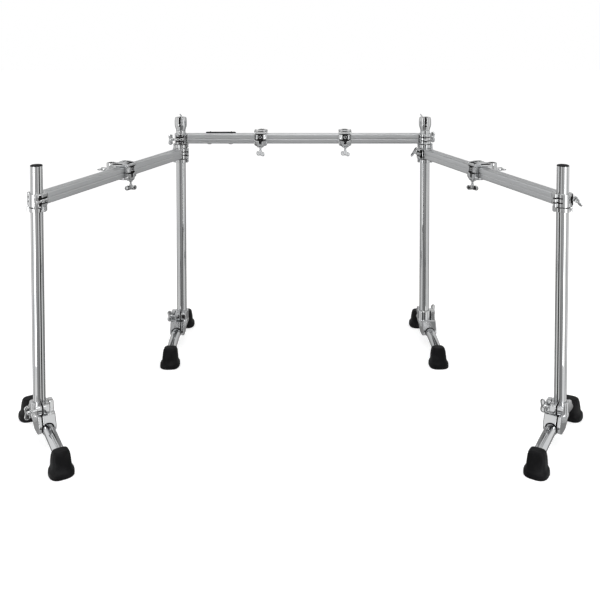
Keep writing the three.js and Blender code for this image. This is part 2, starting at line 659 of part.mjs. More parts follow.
// An accessory clamp. The bar runs along X through the origin, and the drummer's side is -Y.
// Its jaws meet at the front, where a trunnion holds the wing bolt. A tube socket stands behind the bar.
function accessoryClampGeometry() {
  const side = JAW_SIDE;
  const top = JAW_TOP;
  const half = ACCESSORY_WIDTH / 2;
  const front = -JAW_FRONT_REACH;
  const jaws = slab(jawOutline(side, top), -half, half).rotateX(QUARTER).rotateZ(QUARTER);
  const ribNear = half - JAW_RIB_WIDTH;
  const ribBack = JAW_BACK_REACH - JAW_RIB_WIDTH;
  const ribs = blockPair(ribNear, half, front + JAW_RIB_WIDTH, ribBack, side, top + JAW_RIB_RISE);
  const near = half - CHEEK_WIDTH;
  const seam = JAW_GAP / 2;
  const upperCheeks = blockPair(near, half, front, -side, seam, top);
  const lowerCheeks = blockPair(near, half, front, -side, -top - LOWER_CHEEK_DROP, -seam);
  const bossBottom = -ACCESSORY_SEAT;
  const bossRadius = TRUNNION_DIAMETER / 2 + JAW_GAP;
  const boss = rod(bossRadius, bossBottom, -side, SMALL_FACETS).translate(0, -ACCESSORY_BOLT_OFFSET, 0);
  const trunnionHalf = near + CHEEK_WIDTH / 2;
  const trunnion = rod(TRUNNION_DIAMETER / 2, -trunnionHalf, trunnionHalf, SMALL_FACETS);
  trunnion.rotateY(QUARTER).translate(0, -ACCESSORY_BOLT_OFFSET, TRUNNION_HEIGHT);
  const socketRadius = SOCKET_BORE_DIAMETER / 2 + SOCKET_WALL;
  const socketBottom = -SOCKET_HEIGHT / 2;
  const arm = block(-ribNear, ribNear, side, SOCKET_OFFSET, socketBottom, side + FIT);
  const socket = rod(socketRadius, socketBottom, top, MEDIUM_FACETS).translate(0, SOCKET_OFFSET, 0);
  const screwSeat = SOCKET_OFFSET + socketRadius + SOCKET_SEAT;
  const screwBoss = rod(WING_HUB_DIAMETER / 2, SOCKET_OFFSET, screwSeat, SMALL_FACETS).rotateX(-QUARTER);
  const cheeks = [...upperCheeks, ...lowerCheeks];
  const whole = joined(jaws, ...ribs, ...cheeks, boss, trunnion, arm, socket, screwBoss);
  const windowBack = SOCKET_OFFSET - socketRadius - WINDOW_MARGIN;
  const window = block(
    -JAW_WINDOW_WIDTH / 2,
    JAW_WINDOW_WIDTH / 2,
    windowBack - JAW_WINDOW_LENGTH,
    windowBack,
    side - OVERRUN,
    top + OVERRUN,
  );
  const hole = rod(BOLT_HOLE_RADIUS, bossBottom - OVERRUN, TRUNNION_HEIGHT, SMALL_FACETS);
  hole.translate(0, -ACCESSORY_BOLT_OFFSET, 0);
  const pipeBore = rod(SOCKET_BORE_DIAMETER / 2, socketBottom - OVERRUN, top + OVERRUN, MEDIUM_FACETS);
  pipeBore.translate(0, SOCKET_OFFSET, 0);
  const screw = wingBoltGeometry(SOCKET_WALL / 2, SOCKET_SCREW_NECK).rotateX(-QUARTER);
  screw.translate(0, screwSeat, 0);
  return geometryOf(cut(whole, window, hole, pipeBore).add(solid(screw)));
}

const rack = new THREE.Group();

// Adds a named piece to a group, at a place and turned about the vertical.
function add(group, name, geometry, finish, x = 0, y = 0, z = 0, turn = 0) {
  const mesh = new THREE.Mesh(geometry, new THREE.MeshStandardMaterial(finish));
  mesh.name = name;
  mesh.position.set(x, y, z);
  mesh.rotation.z = turn;
  group.add(mesh);
  return mesh;
}

// A group at a place, turned about the vertical.
function placed(parent, x, y, z, turn) {
  const group = new THREE.Group();
  group.position.set(x, y, z);
  group.rotation.z = turn;
  parent.add(group);
  return group;
}

const barClamp = barClampGeometry();
const barClampWing = wingBoltGeometry(2 * EAR_SPAN + BOLT_TAIL, BAR_CLAMP_WING_NECK);
const accessoryClamp = accessoryClampGeometry();
const accessoryWing = wingBoltGeometry(ACCESSORY_SEAT + ACCESSORY_TAIL, ACCESSORY_WING_NECK);
const memoryLock = memoryLockGeometry();
const legCastings = { 1: legCastingGeometry(LEG_TUBE_SHIFT), [-1]: legCastingGeometry(-LEG_TUBE_SHIFT) };
const legGrip = LEG_EAR_WIDTH - LEG_NUT_DEPTH / 2;
const legWing = wingBoltGeometry(legGrip, LEG_WING_NECK);
const legTubeInner = LEG_TUBE_DIAMETER / 2 - LEG_TUBE_WALL;
const legTube = legTubeGeometry(LEG_TUBE_DIAMETER / 2, legTubeInner, LEG_TUBE_REACH, LEG_TUBE_STEPS);
const boot = bootGeometry();
const tubeHolder = tubeHolderGeometry();
const holderGrip = HOLDER_BOSS_REACH - HOLDER_BORE_DIAMETER / 2 - FIT;
const holderWing = wingBoltGeometry(holderGrip, HOLDER_WING_NECK);

// A bar with a clamp and a wing bolt at each end, in a group whose X runs along the bar.
function addBar(group, prefix, length, ends, wingTurn) {
  add(group, prefix, barGeometry(length), ALUMINIUM);
  const reach = length / 2 + POST_TO_BAR_END;
  ends.forEach((end, index) => {
    const clamp = placed(group, index === 0 ? -reach : reach, 0, 0, index * 2 * QUARTER);
    add(clamp, prefix + "_clamp_" + end, barClamp, CAST_CHROME);
    const wing = add(clamp, prefix + "_clamp_wing_" + end, barClampWing, CAST_CHROME);
    wing.position.set(-EAR_SPAN - FIT, -CLAMP_BOLT_OFFSET, 0);
    wing.rotation.set(0, -QUARTER, wingTurn);
  });
}

// An accessory clamp and its wing bolt, at a place along a bar's group.
function addAccessory(group, name, along, wingTurn) {
  const clamp = placed(group, along, 0, 0, 0);
  add(clamp, "accessory_clamp_" + name, accessoryClamp, CAST_CHROME);
  const wing = add(clamp, "accessory_wing_" + name, accessoryWing, CAST_CHROME);
  wing.position.set(0, -ACCESSORY_BOLT_OFFSET, -ACCESSORY_SEAT - FIT);
  wing.rotation.set(2 * QUARTER, 0, wingTurn);
}

// A memory lock right under a clamp at the given height.
function addLock(group, name, clampHeight) {
  const height = clampHeight - BAND_HEIGHT / 2 - FIT - LOCK_HEIGHT / 2;
  add(group, "memory_lock_" + name, memoryLock, CAST_CHROME, 0, 0, height);
}

// How each T-leg is turned about its post, the names of the boots on its +X end and on its -X end, and
// the hand of its casting: with hand 1 the tube stands off towards +Y, away from the wing bolt.
const LEGS = {
  left_front: { turn: -degToRad(LEFT_FRONT_LEG_DEGREES), ends: ["near", "far"], hand: 1 },
  left_back: { turn: -degToRad(LEFT_BACK_LEG_DEGREES), ends: ["near", "far"], hand: -1 },
  right_front: { turn: degToRad(RIGHT_FRONT_LEG_DEGREES) - 2 * QUARTER, ends: ["near", "far"], hand: -1 },
  right_back: { turn: degToRad(RIGHT_BACK_LEG_DEGREES), ends: ["far", "near"], hand: -1 },
};

// A T-leg under a post.
function addLeg(post, name) {
  const { turn, ends, hand } = LEGS[name];
  const shift = hand * LEG_TUBE_SHIFT;
  const group = placed(post, 0, 0, 0, turn);
  add(group, "leg_casting_" + name, legCastings[hand], CAST_CHROME);
  const wing = add(group, "leg_wing_" + name, legWing, CAST_CHROME);
  wing.position.set(LEG_BOLT_OFFSET, -LEG_EAR_WIDTH / 2 - FIT, LEG_EAR_CENTRE_HEIGHT);
  wing.rotation.set(QUARTER, 0, QUARTER);
  add(group, "leg_tube_" + name, legTube, CHROME, 0, shift);
  add(group, "boot_" + name + "_" + ends[0], boot, RUBBER, 0, shift);
  add(group, "boot_" + name + "_" + ends[1], boot, RUBBER, 0, shift, 0, 2 * QUARTER);
}

const frontBar = placed(rack, 0, BACK_POST_Y, FRONT_BAR_HEIGHT, 0);
addBar(frontBar, "front_bar", FRONT_BAR_LENGTH, ["left", "right"], 0);
addAccessory(frontBar, "front_left", -FRONT_ACCESSORY_PLACE, ACCESSORY_WING_TURN);
addAccessory(frontBar, "front_right", FRONT_ACCESSORY_PLACE, ACCESSORY_WING_TURN);

for (const side of ["left", "right"]) {
  const hand = side === "left" ? -1 : 1;
  const frontName = side + "_front";
  const backName = side + "_back";

  const frontPost = placed(rack, hand * FRONT_POST_X, 0, 0, 0);
  add(frontPost, "post_" + frontName, postGeometry(FRONT_POST_TOP), CHROME, 0, 0, POST_BOTTOM);
  add(frontPost, "post_cap_" + side, capGeometry(), BLACK_PLASTIC, 0, 0, FRONT_POST_TOP);
  addLock(frontPost, frontName, SIDE_BAR_HEIGHT);
  addLeg(frontPost, frontName);

  const backPost = placed(rack, hand * BACK_POST_X, BACK_POST_Y, 0, 0);
  add(backPost, "post_" + backName, postGeometry(BACK_POST_TOP), CHROME, 0, 0, POST_BOTTOM);
  addLock(backPost, backName + "_upper", FRONT_BAR_HEIGHT);
  addLock(backPost, backName + "_lower", SIDE_BAR_HEIGHT);
  addLeg(backPost, backName);
  add(backPost, "tube_holder_" + side, tubeHolder, CAST_CHROME, 0, 0, BACK_POST_TOP);
  const wing = add(backPost, "tube_holder_wing_" + side, holderWing, CAST_CHROME);
  wing.position.set(0, HOLDER_BOSS_REACH + FIT, BACK_POST_TOP + HOLDER_BOLT_HEIGHT);
  wing.rotation.set(-QUARTER, 0, degToRad(HOLDER_WING_TURN_DEGREES));

  const middleX = (hand * (FRONT_POST_X + BACK_POST_X)) / 2;
  const barTurn = side === "left" ? QUARTER - SIDE_BAR_TURN : SIDE_BAR_TURN - QUARTER;
  const sideBar = placed(rack, middleX, BACK_POST_Y / 2, SIDE_BAR_HEIGHT, barTurn);
  const ends = side === "left" ? ["front", "back"] : ["back", "front"];
  const wingTurn = side === "left" ? 0 : degToRad(RIGHT_BAR_WING_TURN_DEGREES);
  addBar(sideBar, side + "_bar", SIDE_BAR_LENGTH, ends, wingTurn);
  const fromMiddle = SIDE_SPAN / 2 - SIDE_ACCESSORY_PLACE;
  addAccessory(sideBar, side, hand * fromMiddle, -hand * ACCESSORY_WING_TURN);
}

// The frame's own origin is under the middle of everything that it holds.
rack.updateMatrixWorld(true);
const bounds = new THREE.Box3().setFromObject(rack, true);
const middle = bounds.getCenter(new THREE.Vector3());
rack.position.set(-middle.x, -middle.y, -bounds.min.z);

const drumRackFrame = new THREE.Group();
drumRackFrame.add(rack);

export default drumRackFrame;
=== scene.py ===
# %% [markdown]
# A drum rack is a frame of chrome tube and square bar that drums hang from. Its solids were made first
# and packed with their joints. This lesson loads them as a fixed frame and dresses each one with a finer
# surface, so the shine of the chrome has round forms to run over. Everything here keeps the frame's
# places and sizes.

# %% Load the frame
import json

import bpy
import numpy as np
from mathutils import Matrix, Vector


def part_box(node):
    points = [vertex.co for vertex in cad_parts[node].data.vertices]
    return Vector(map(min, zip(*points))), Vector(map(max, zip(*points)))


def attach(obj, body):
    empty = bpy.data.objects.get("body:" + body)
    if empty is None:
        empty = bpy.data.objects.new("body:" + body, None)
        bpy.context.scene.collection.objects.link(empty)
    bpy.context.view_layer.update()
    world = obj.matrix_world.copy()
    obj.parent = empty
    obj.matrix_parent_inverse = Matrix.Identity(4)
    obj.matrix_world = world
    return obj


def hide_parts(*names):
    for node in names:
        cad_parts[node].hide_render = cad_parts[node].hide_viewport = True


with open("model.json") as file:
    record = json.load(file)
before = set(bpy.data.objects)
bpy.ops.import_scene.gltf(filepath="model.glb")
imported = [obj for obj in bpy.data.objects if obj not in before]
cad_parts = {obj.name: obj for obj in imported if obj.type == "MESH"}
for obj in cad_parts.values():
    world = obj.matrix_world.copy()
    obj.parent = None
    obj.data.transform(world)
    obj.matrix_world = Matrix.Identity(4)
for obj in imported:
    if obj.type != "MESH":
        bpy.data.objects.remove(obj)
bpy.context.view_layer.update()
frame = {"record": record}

BODY_OF = {node: body for body, nodes in frame["record"]["behaviour"]["bodies"].items() for node in nodes}

# %% [markdown]
# The camera stands where the photographer stood. The four posts, the three bars and the boots fix its
# place and its lens. The picture is a crop from a larger one, so its middle is not where the lens points,
# and the lens shift takes care of that. The lengths of this cell are in metres, as Blender's own are.

# %% Camera
CAMERA_ASIDE, CAMERA_AWAY, CAMERA_HEIGHT = 0.04458, 2.5753, 1.4154
CAMERA_PITCH = 2.24
FOCAL_LENGTH, SENSOR_WIDTH = 50.42, 36
SHIFT_X, SHIFT_Y = -0.0235, -0.4583


def centre(node):
    """The middle of a node's box: half the sum of its two corners."""
    low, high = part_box(node)
    return (low + high) / 2


front_line = centre("post_left_front").y
middle_x = (centre("post_left_back").x + centre("post_right_back").x) / 2

lens = bpy.data.cameras.new("camera")
lens.sensor_width = SENSOR_WIDTH
lens.lens = FOCAL_LENGTH
lens.shift_x = SHIFT_X
lens.shift_y = SHIFT_Y
lens.clip_end = 60
camera = bpy.data.objects.new("camera", lens)
camera.location = (middle_x + CAMERA_ASIDE, front_line - CAMERA_AWAY, CAMERA_HEIGHT)
camera.rotation_euler = (np.radians(90 - CAMERA_PITCH), 0, 0)
bpy.context.scene.collection.objects.link(camera)
bpy.context.scene.camera = camera
print("camera at", [round(v, 3) for v in camera.location])

# %% [markdown]
# Every new surface is a stack of rings. A ring is a closed loop of points, and neighbouring rings are
# joined by four-sided faces. A tube, a turned barrel, a plate with soft edges and a rubber boot differ
# only in how their rings are worked out, so one function can skin them all. From here on lengths are in
# millimetres.

# %% Skin a stack of rings
def skin(rings, wrap=False):
    """Joins point j of ring i to point j of ring i + 1. The ends get caps, or the last joins the first.

    Six times the volume inside is the sum of (b - a) x (c - a) . a over the triangles. Where it is below
    zero the faces point inwards, and each of them is turned round.
    """
    rings = np.asarray(rings, float)
    count, size = rings.shape[:2]
    i = np.arange(count if wrap else count - 1)[:, None]
    j = np.arange(size)[None, :]
    after = (j + 1) % size
    above = (i + 1) % count
    quads = np.stack([i * size + j, i * size + after, above * size + after, above * size + j], -1)
    caps = [] if wrap else [np.arange(size)[::-1], (count - 1) * size + np.arange(size)]
    points, faces = rings.reshape(-1, 3), quads.reshape(-1, 4)
    a, b, c, d = (points[faces[:, k]] for k in range(4))
    volume = (np.cross(b - a, c - a) * a).sum() + (np.cross(c - a, d - a) * a).sum()
    for cap in caps:
        fan = points[cap]
        volume += (np.cross(fan[1:-1] - fan[0], fan[2:] - fan[0]) * fan[0]).sum()
    if volume < 0:
        faces, caps = faces[:, ::-1], [cap[::-1] for cap in caps]
    return points, faces, caps


square = np.array([(0, 0, 0), (1, 0, 0), (1, 1, 0), (0, 1, 0)])
print("a cube from two squares:", len(skin([square, square + (0, 0, 1)])[1]), "sides and two caps")

# %% [markdown]
# A shape is worked out where its numbers are simplest, about its own axis, and a matrix then carries it
# to its place. That keeps every object at the origin with its place in its mesh, so patterns stay put on
# it.

# %% Place shapes in the frame
def move(x, y, z):
    """A matrix that carries a point by x, y and z."""
    matrix = np.eye(4)
    matrix[:3, 3] = (x, y, z)
    return matrix


def spin(axis, degrees):
    """A matrix that turns a point about the X, Y or Z axis by the right-hand rule."""
    cos, sin = np.cos(np.radians(degrees)), np.sin(np.radians(degrees))
    first, second = {"X": (1, 2), "Y": (2, 0), "Z": (0, 1)}[axis]
    matrix = np.eye(4)
    matrix[first, first] = matrix[second, second] = cos
    matrix[second, first], matrix[first, second] = sin, -sin
    return matrix


def put(matrix, shells):
    """The same shells, carried by a matrix."""
    return [(p @ matrix[:3, :3].T + matrix[:3, 3], faces, caps) for p, faces, caps in shells]


FACING = spin("X", 90)  # carries Y to Z and Z to -Y: an outline drawn flat stands up and faces forward
ENDWISE = spin("Z", 90) @ FACING  # carries X to Y, Y to Z and Z to X: it stands up and faces along X
print("FACING carries Y to", FACING[:3, 1].round(3), "and ENDWISE carries X to", ENDWISE[:3, 0].round(3))

# %% [markdown]
# Each piece rides on a body of the frame, so that it moves with the joints, and most stand for one solid,
# which is then hidden. Sides are smooth and caps are flat. The Weighted Normal modifier keeps broad faces
# flat where they meet a rounded edge, which a mirror shows at once.

# %% Make a piece
PIECES = {}


def piece(name, shells, body, material, stands_for=None):
    """Collects shells in millimetres into one mesh in metres, on a body. It may stand for a solid."""
    points, polygons, smooth, start = [], [], [], 0
    for shell_points, faces, caps in shells:
        points.append(shell_points)
        polygons += (faces + start).tolist() + [(cap + start).tolist() for cap in caps]
        smooth += [True] * len(faces) + [False] * len(caps)
        start += len(shell_points)
    mesh = bpy.data.meshes.new(name)
    mesh.from_pydata((np.concatenate(points) / 1000).tolist(), [], polygons)
    mesh.polygons.foreach_set("use_smooth", smooth)
    mesh.materials.append(material)
    mesh.update()
    shown = bpy.data.objects.new(name, mesh)
    bpy.context.scene.collection.objects.link(shown)
    weighted = shown.modifiers.new("flats stay flat", "WEIGHTED_NORMAL")
    weighted.weight = 80
    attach(shown, body)
    if stands_for:
        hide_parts(stands_for)
    PIECES[name] = len(polygons)


def pieces_called(*titles):
    """How many pieces have a name that starts with one of the titles."""
    return sum(name.startswith(titles) for name in PIECES)


print("bodies to ride on:", len(set(BODY_OF.values())))

# %% [markdown]
# Four ways to work out rings cover this object. A profile turned about Z gives barrels and rods. A
# profile carried along a path gives bands and bars. A flat outline with its edge rolled over gives plates
# and lugs. Corners are softened first, because a real casting has no sharp edge and chrome shows each one
# as a glint.

# %% Soften and turn
def soften(points, radius, steps=4):
    """Swaps each corner P for a curve (1-t)^2 A + 2t(1-t) P + t^2 B, with A and B a radius away from it."""
    points = np.asarray(points, float)
    radius = np.broadcast_to(radius, len(points))[:, None]
    back, ahead = np.roll(points, 1, 0) - points, np.roll(points, -1, 0) - points
    length_back = np.linalg.norm(back, axis=1, keepdims=True)
    length_ahead = np.linalg.norm(ahead, axis=1, keepdims=True)
    reach = np.minimum(radius, 0.49 * np.minimum(length_back, length_ahead))
    start, end = points + back / length_back * reach, points + ahead / length_ahead * reach
    t = np.linspace(0, 1, steps + 1)[None, :, None]
    curve = (1 - t) ** 2 * start[:, None] + 2 * t * (1 - t) * points[:, None] + t**2 * end[:, None]
    return curve.reshape(-1, points.shape[1])


def box_profile(low_x, high_x, low_y, high_y, radius=1.0, steps=3):
    """A rectangle between four sides with softened corners."""
    corners = [(low_x, low_y), (high_x, low_y), (high_x, high_y), (low_x, high_y)]
    return soften(corners, radius, steps)


def full_turn(steps):
    """Even angles from zero to a step short of a full turn."""
    return np.linspace(0, 2 * np.pi, steps, endpoint=False)


def around(radius, angle, height):
    """The points (radius cos angle, radius sin angle, height)."""
    return np.stack([radius * np.cos(angle), radius * np.sin(angle), height + 0 * angle], -1)


def turned(profile, steps=64, wrap=False):
    """A profile of (radius, height) points turned about Z: each point becomes a circle of that radius."""
    radius, height = np.asarray(profile, float).T[:, :, None]
    return skin(around(radius, full_turn(steps)[None, :], height), wrap)


def bush(inner, outer, low, high, edge, steps=64):
    """A short tube with an open bore: its softened box is turned, and the last circle joins the first."""
    return turned(box_profile(inner, outer, low, high, edge), steps, wrap=True)


def rod(radius, low, high, edge=0.6, steps=48):
    """A round bar along Z whose two end edges are softened."""
    profile = [(radius - edge, low), (radius, low + edge), (radius, high - edge), (radius - edge, high)]
    return turned(profile, steps)


print("sides of a rod:", len(rod(10, 0, 50)[1]))

# %% Carry and roll
def split_band(profile, from_degrees, to_degrees, steps=72):
    """A closed (radius, height) profile carried round part of a circle about Z, with a cap at each end."""
    angle = np.radians(np.linspace(from_degrees, to_degrees, steps))[:, None]
    radius, height = np.asarray(profile, float).T[:, None, :]
    return skin(around(radius, angle, height))


def plate(outline, low, high, edge=1.0, steps=4, dome=None):
    """A flat outline carried up Z. At each face its rings rise by edge (1 - cos a) as the angle a grows.

    They also draw in from the outline, by dome (1 - sin a), or by edge (1 - sin a) where no dome is given.
    """
    outline = np.asarray(outline, float)
    following = np.roll(outline, -1, 0)
    area = (outline[:, 0] * following[:, 1] - following[:, 0] * outline[:, 1]).sum()
    tangent = following - np.roll(outline, 1, 0)
    tangent /= np.linalg.norm(tangent, axis=1, keepdims=True)
    inward = np.stack([-tangent[:, 1], tangent[:, 0]], -1) * np.sign(area)
    roll = np.linspace(0, np.pi / 2, steps + 1)
    inset = (dome or edge) * (1 - np.sin(roll))
    rise = edge * (1 - np.cos(roll))
    inset = np.concatenate([inset, inset[::-1]])
    height = np.concatenate([low + rise, high - rise[::-1]])
    flat = outline[None] + inward[None] * inset[:, None, None]
    return skin(np.concatenate([flat, np.broadcast_to(height[:, None, None], flat.shape[:2] + (1,))], -1))


def block(low_x, high_x, low_y, high_y, low, high, corner=2.0, edge=1.2):
    """A plate whose outline is a softened box."""
    return plate(box_profile(low_x, high_x, low_y, high_y, corner, 4), low, high, edge)


def arc(x, y, radius, from_degrees, to_degrees, steps=12):
    """Points on a circle about (x, y)."""
    angle = np.radians(np.linspace(from_degrees, to_degrees, steps + 1))
    return np.stack([x + radius * np.cos(angle), y + radius * np.sin(angle)], -1)


def hexagon(radius):
    """The outline of a nut, six points on a circle, with its corners just broken."""
    return soften(arc(0, 0, radius, 0, 300, 5), 0.4)


def squash(wave, power):
    """The wave's sign times |wave|^power: under a power of one, a circle grows towards a square."""
    return np.sign(wave) * np.abs(wave) ** power


print("sides of a block:", len(block(-1, 1, -1, 1, 0, 1)[1]), "points of a hexagon:", len(hexagon(7)))

# %% [markdown]
# Chrome is a mirror, so almost nothing of it is its own colour. What makes it look real is a film of
# faint smudges that blurs the mirror here and there. The castings are plated over a surface that was
# never quite flat, so a soft, wide bump bends their reflections a little. Both patterns use Object
# coordinates.

# %% Material helpers
def new_material(name):
    """An empty node material with its Principled shader and Object coordinates."""
    material = bpy.data.materials.new(name)
    material.use_nodes = True
    nodes, links = material.node_tree.nodes, material.node_tree.links
    shader = nodes["Principled BSDF"]
    where = nodes.new("ShaderNodeTexCoord").outputs["Object"]
    return material, nodes, links, shader, where


def noise(nodes, links, where, scale, detail=3.0, roughness=0.55):
    """A cloud pattern between 0 and 1 at a number of clouds to the metre."""
    cloud = nodes.new("ShaderNodeTexNoise")
    cloud.inputs["Scale"].default_value = scale
    cloud.inputs["Detail"].default_value = detail
    cloud.inputs["Roughness"].default_value = roughness
    links.new(where, cloud.inputs["Vector"])
    return cloud.outputs["Fac"]


def ranged(nodes, links, value, low, high, to_low, to_high):
    """A value between low and high, drawn to lie between two others."""
    remap = nodes.new("ShaderNodeMapRange")
    remap.inputs["From Min"].default_value = low
    remap.inputs["From Max"].default_value = high
    remap.inputs["To Min"].default_value = to_low
    remap.inputs["To Max"].default_value = to_high
    links.new(value, remap.inputs["Value"])
    return remap.outputs["Result"]


def coloured(nodes, links, value, stops):
    """A colour ramp over a value: each stop is a position and a grey or coloured triple."""
    ramp = nodes.new("ShaderNodeValToRGB")
    while len(ramp.color_ramp.elements) < len(stops):
        ramp.color_ramp.elements.new(0.5)
    for element, (position, colour) in zip(ramp.color_ramp.elements, stops):
        element.position = position
        element.color = (*colour, 1)
    links.new(value, ramp.inputs["Fac"])
    return ramp.outputs["Color"]


def bumped(nodes, links, shader, value, strength, distance):
    """Feeds a height pattern to the shader's normal."""
    bump = nodes.new("ShaderNodeBump")
    bump.inputs["Strength"].default_value = strength
    bump.inputs["Distance"].default_value = distance
    links.new(value, bump.inputs["Height"])
    links.new(bump.outputs["Normal"], shader.inputs["Normal"])


# %% Chrome on tube and chrome on castings
def chrome(name, clean, smudged, wave, distance):
    """Mirror metal: clouds set the roughness from clean to smudged, and a wide bump bends the mirror."""
    material, nodes, links, shader, where = new_material(name)
    shader.inputs["Metallic"].default_value = 1.0
    smudge = noise(nodes, links, where, scale=34, detail=5, roughness=0.65)
    links.new(ranged(nodes, links, smudge, 0.42, 0.72, clean, smudged), shader.inputs["Roughness"])
    tint = noise(nodes, links, where, scale=9, detail=2)
    stops = [(0.3, (0.58, 0.59, 0.60)), (0.7, (0.63, 0.635, 0.635))]
    links.new(coloured(nodes, links, tint, stops), shader.inputs["Base Color"])
    bumped(nodes, links, shader, noise(nodes, links, where, wave, detail=2), 0.35, distance)
    return material


TUBE_CHROME = chrome("tube_chrome", clean=0.03, smudged=0.08, wave=14, distance=0.0003)
CAST_CHROME = chrome("cast_chrome", clean=0.05, smudged=0.13, wave=90, distance=0.0007)
print("chromes:", TUBE_CHROME.name, CAST_CHROME.name)

# %% [markdown]
# The bars are drawn aluminium. The die leaves hair lines along the bar, so the pattern is stretched: it
# changes fast across the bar and hardly at all along it. A Mapping node turns the pattern to follow each
# bar. Rubber and plastic are close to black, with a fine grain and a little pale dust.

# %% Drawn aluminium, rubber and black plastic
HAIRS_ALONG, HAIRS_ACROSS = 1.5, 420  # to the metre


def drawn_aluminium(name, degrees):
    """Satin metal with hair lines along a bar that lies at an angle to X."""
    material, nodes, links, shader, where = new_material(name)
    mapping = nodes.new("ShaderNodeMapping")
    mapping.vector_type = "TEXTURE"
    mapping.inputs["Rotation"].default_value = (0, 0, np.radians(degrees))
    mapping.inputs["Scale"].default_value = (1 / HAIRS_ALONG, 1 / HAIRS_ACROSS, 1 / HAIRS_ACROSS)
    links.new(where, mapping.inputs["Vector"])
    hair = noise(nodes, links, mapping.outputs["Vector"], scale=1.0, detail=4, roughness=0.6)
    links.new(ranged(nodes, links, hair, 0.3, 0.7, 0.27, 0.42), shader.inputs["Roughness"])
    stops = [(0.25, (0.60, 0.61, 0.62)), (0.75, (0.72, 0.73, 0.735))]
    links.new(coloured(nodes, links, hair, stops), shader.inputs["Base Color"])
    shader.inputs["Metallic"].default_value = 1.0
    bumped(nodes, links, shader, hair, 0.12, 0.0002)
    return material


def black(name, colour, rough, grain, depth):
    """Black rubber or plastic with a fine grain, and a little dust that is paler and rougher."""
    material, nodes, links, shader, where = new_material(name)
    dust = noise(nodes, links, where, scale=22, detail=4)
    worn = tuple(c * 2.6 + 0.006 for c in colour)
    links.new(coloured(nodes, links, dust, [(0.45, colour), (0.85, worn)]), shader.inputs["Base Color"])
    links.new(ranged(nodes, links, dust, 0.3, 0.8, rough, rough + 0.16), shader.inputs["Roughness"])
    shader.inputs["Specular IOR Level"].default_value = 0.1
    bumped(nodes, links, shader, noise(nodes, links, where, grain), 0.35, depth)
    return material


BOOT_RUBBER = black("boot_rubber", (0.005, 0.005, 0.0055), rough=0.42, grain=900, depth=0.0004)
CAP_PLASTIC = black("cap_plastic", (0.008, 0.008, 0.009), rough=0.4, grain=1400, depth=0.0001)
PLATE_BLACK = black("plate_black", (0.008, 0.008, 0.009), rough=0.3, grain=300, depth=0.00005)
# painted shade: a black for the pieces set in slits, gaps and bores where only shade falls
PAINTED_SHADE_BLACK = black("liner_black", (0.004, 0.004, 0.004), rough=0.6, grain=700, depth=0.0001)
print("blacks:", BOOT_RUBBER.name, CAP_PLASTIC.name, PLATE_BLACK.name, PAINTED_SHADE_BLACK.name)

# %% [markdown]
# Most pieces stand for a solid of the frame, and take its body and its name after a title of their own.
# Deep slits, gaps and bores get separate black pieces of painted shade, because a mirror in a narrow slit
# would show as grey, and on the real castings these places lie in shade.

# %% Dress a solid
def dress(title, node, shells, material):
    """A piece that stands for a solid, on the solid's body."""
    piece(f"{title}_{node}", shells, BODY_OF[node], material, node)


def cast(title, node, shells):
    """A chrome casting or bolt that stands for a solid."""
    dress(title, node, shells, CAST_CHROME)


def paint_shade(node, shells):
    """Black pieces of painted shade in a solid's slits and bores, on the solid's body."""
    piece("liner_" + node, shells, BODY_OF[node], PAINTED_SHADE_BLACK)


print("solids to dress:", len(BODY_OF))

# %% [markdown]
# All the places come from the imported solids. The posts give the four corners, and the line between two
# posts gives each bar its direction. Heights and the angles of the legs are the frame's own sizes.

# %% Sizes and places
FIT = 0.3
POST_RADIUS = 19.05
FRONT_TOP, BACK_TOP, POST_BOTTOM = 880.0, 866.5, 90.5
FRONT_BAR_Z, SIDE_BAR_Z = 834.0, 775.0
BAR_LENGTH = {"front": 914, "left": 762, "right": 762}
SIDES = ("left", "right")
ENDS = ("front", "back")


def post_place(side, end):
    """The foot of a post's axis: half the sum of its box's corners, taken from metres to millimetres."""
    low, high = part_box(f"post_{side}_{end}")
    return np.array([(low.x + high.x) * 500, (low.y + high.y) * 500, 0.0])


POSTS = {(side, end): post_place(side, end) for side in SIDES for end in ENDS}
BAR_TURN = {"front": 0}
for side, half_turn in (("left", 0), ("right", 180)):  # the drummer sits at -Y of every bar
    x, y, _ = POSTS[side, "back"] - POSTS[side, "front"]
    BAR_TURN[side] = np.degrees(np.arctan2(y, x)) - half_turn
print("bar turns:", {name: round(float(turn), 2) for name, turn in BAR_TURN.items()})

# %% [markdown]
# The posts are plain chrome tube. The front ones end in a black cap of the tube's own width with a low
# dome.

# %% Posts and caps
def cap_dome():
    """The cap's side and a dome, whose radius goes as the cosine of an angle and its height as the sine."""
    lean = np.linspace(0.12, np.pi / 2, 14)
    radius = (POST_RADIUS - 0.5) * np.cos(lean) + 0.01
    height = 1.5 + 2.8 * np.sin(lean)
    rim = [(16.6, -14), (16.6, FIT), (POST_RADIUS - 0.4, FIT), (POST_RADIUS, FIT + 0.4), (POST_RADIUS, 1.5)]
    return turned(rim + list(zip(radius, height)), 72)


for (side, end), foot in POSTS.items():
    top = FRONT_TOP if end == "front" else BACK_TOP
    tube = put(move(*foot), [rod(POST_RADIUS, POST_BOTTOM, top, 0.5, 96)])
    dress("tube", f"post_{side}_{end}", tube, TUBE_CHROME)
    if end == "front":
        dome = put(move(foot[0], foot[1], FRONT_TOP), [cap_dome()])
        dress("dome", "post_cap_" + side, dome, CAP_PLASTIC)
print("posts and caps:", pieces_called("tube", "dome"))

# %% [markdown]
# A bar is one outline carried along a straight path. The outline has softened corners and, in the middle
# of each side, the shallow groove that shows as a fine line in the photograph.

# %% Bars
BAR_HALF, GROOVE_FLOOR = 19, 17.8


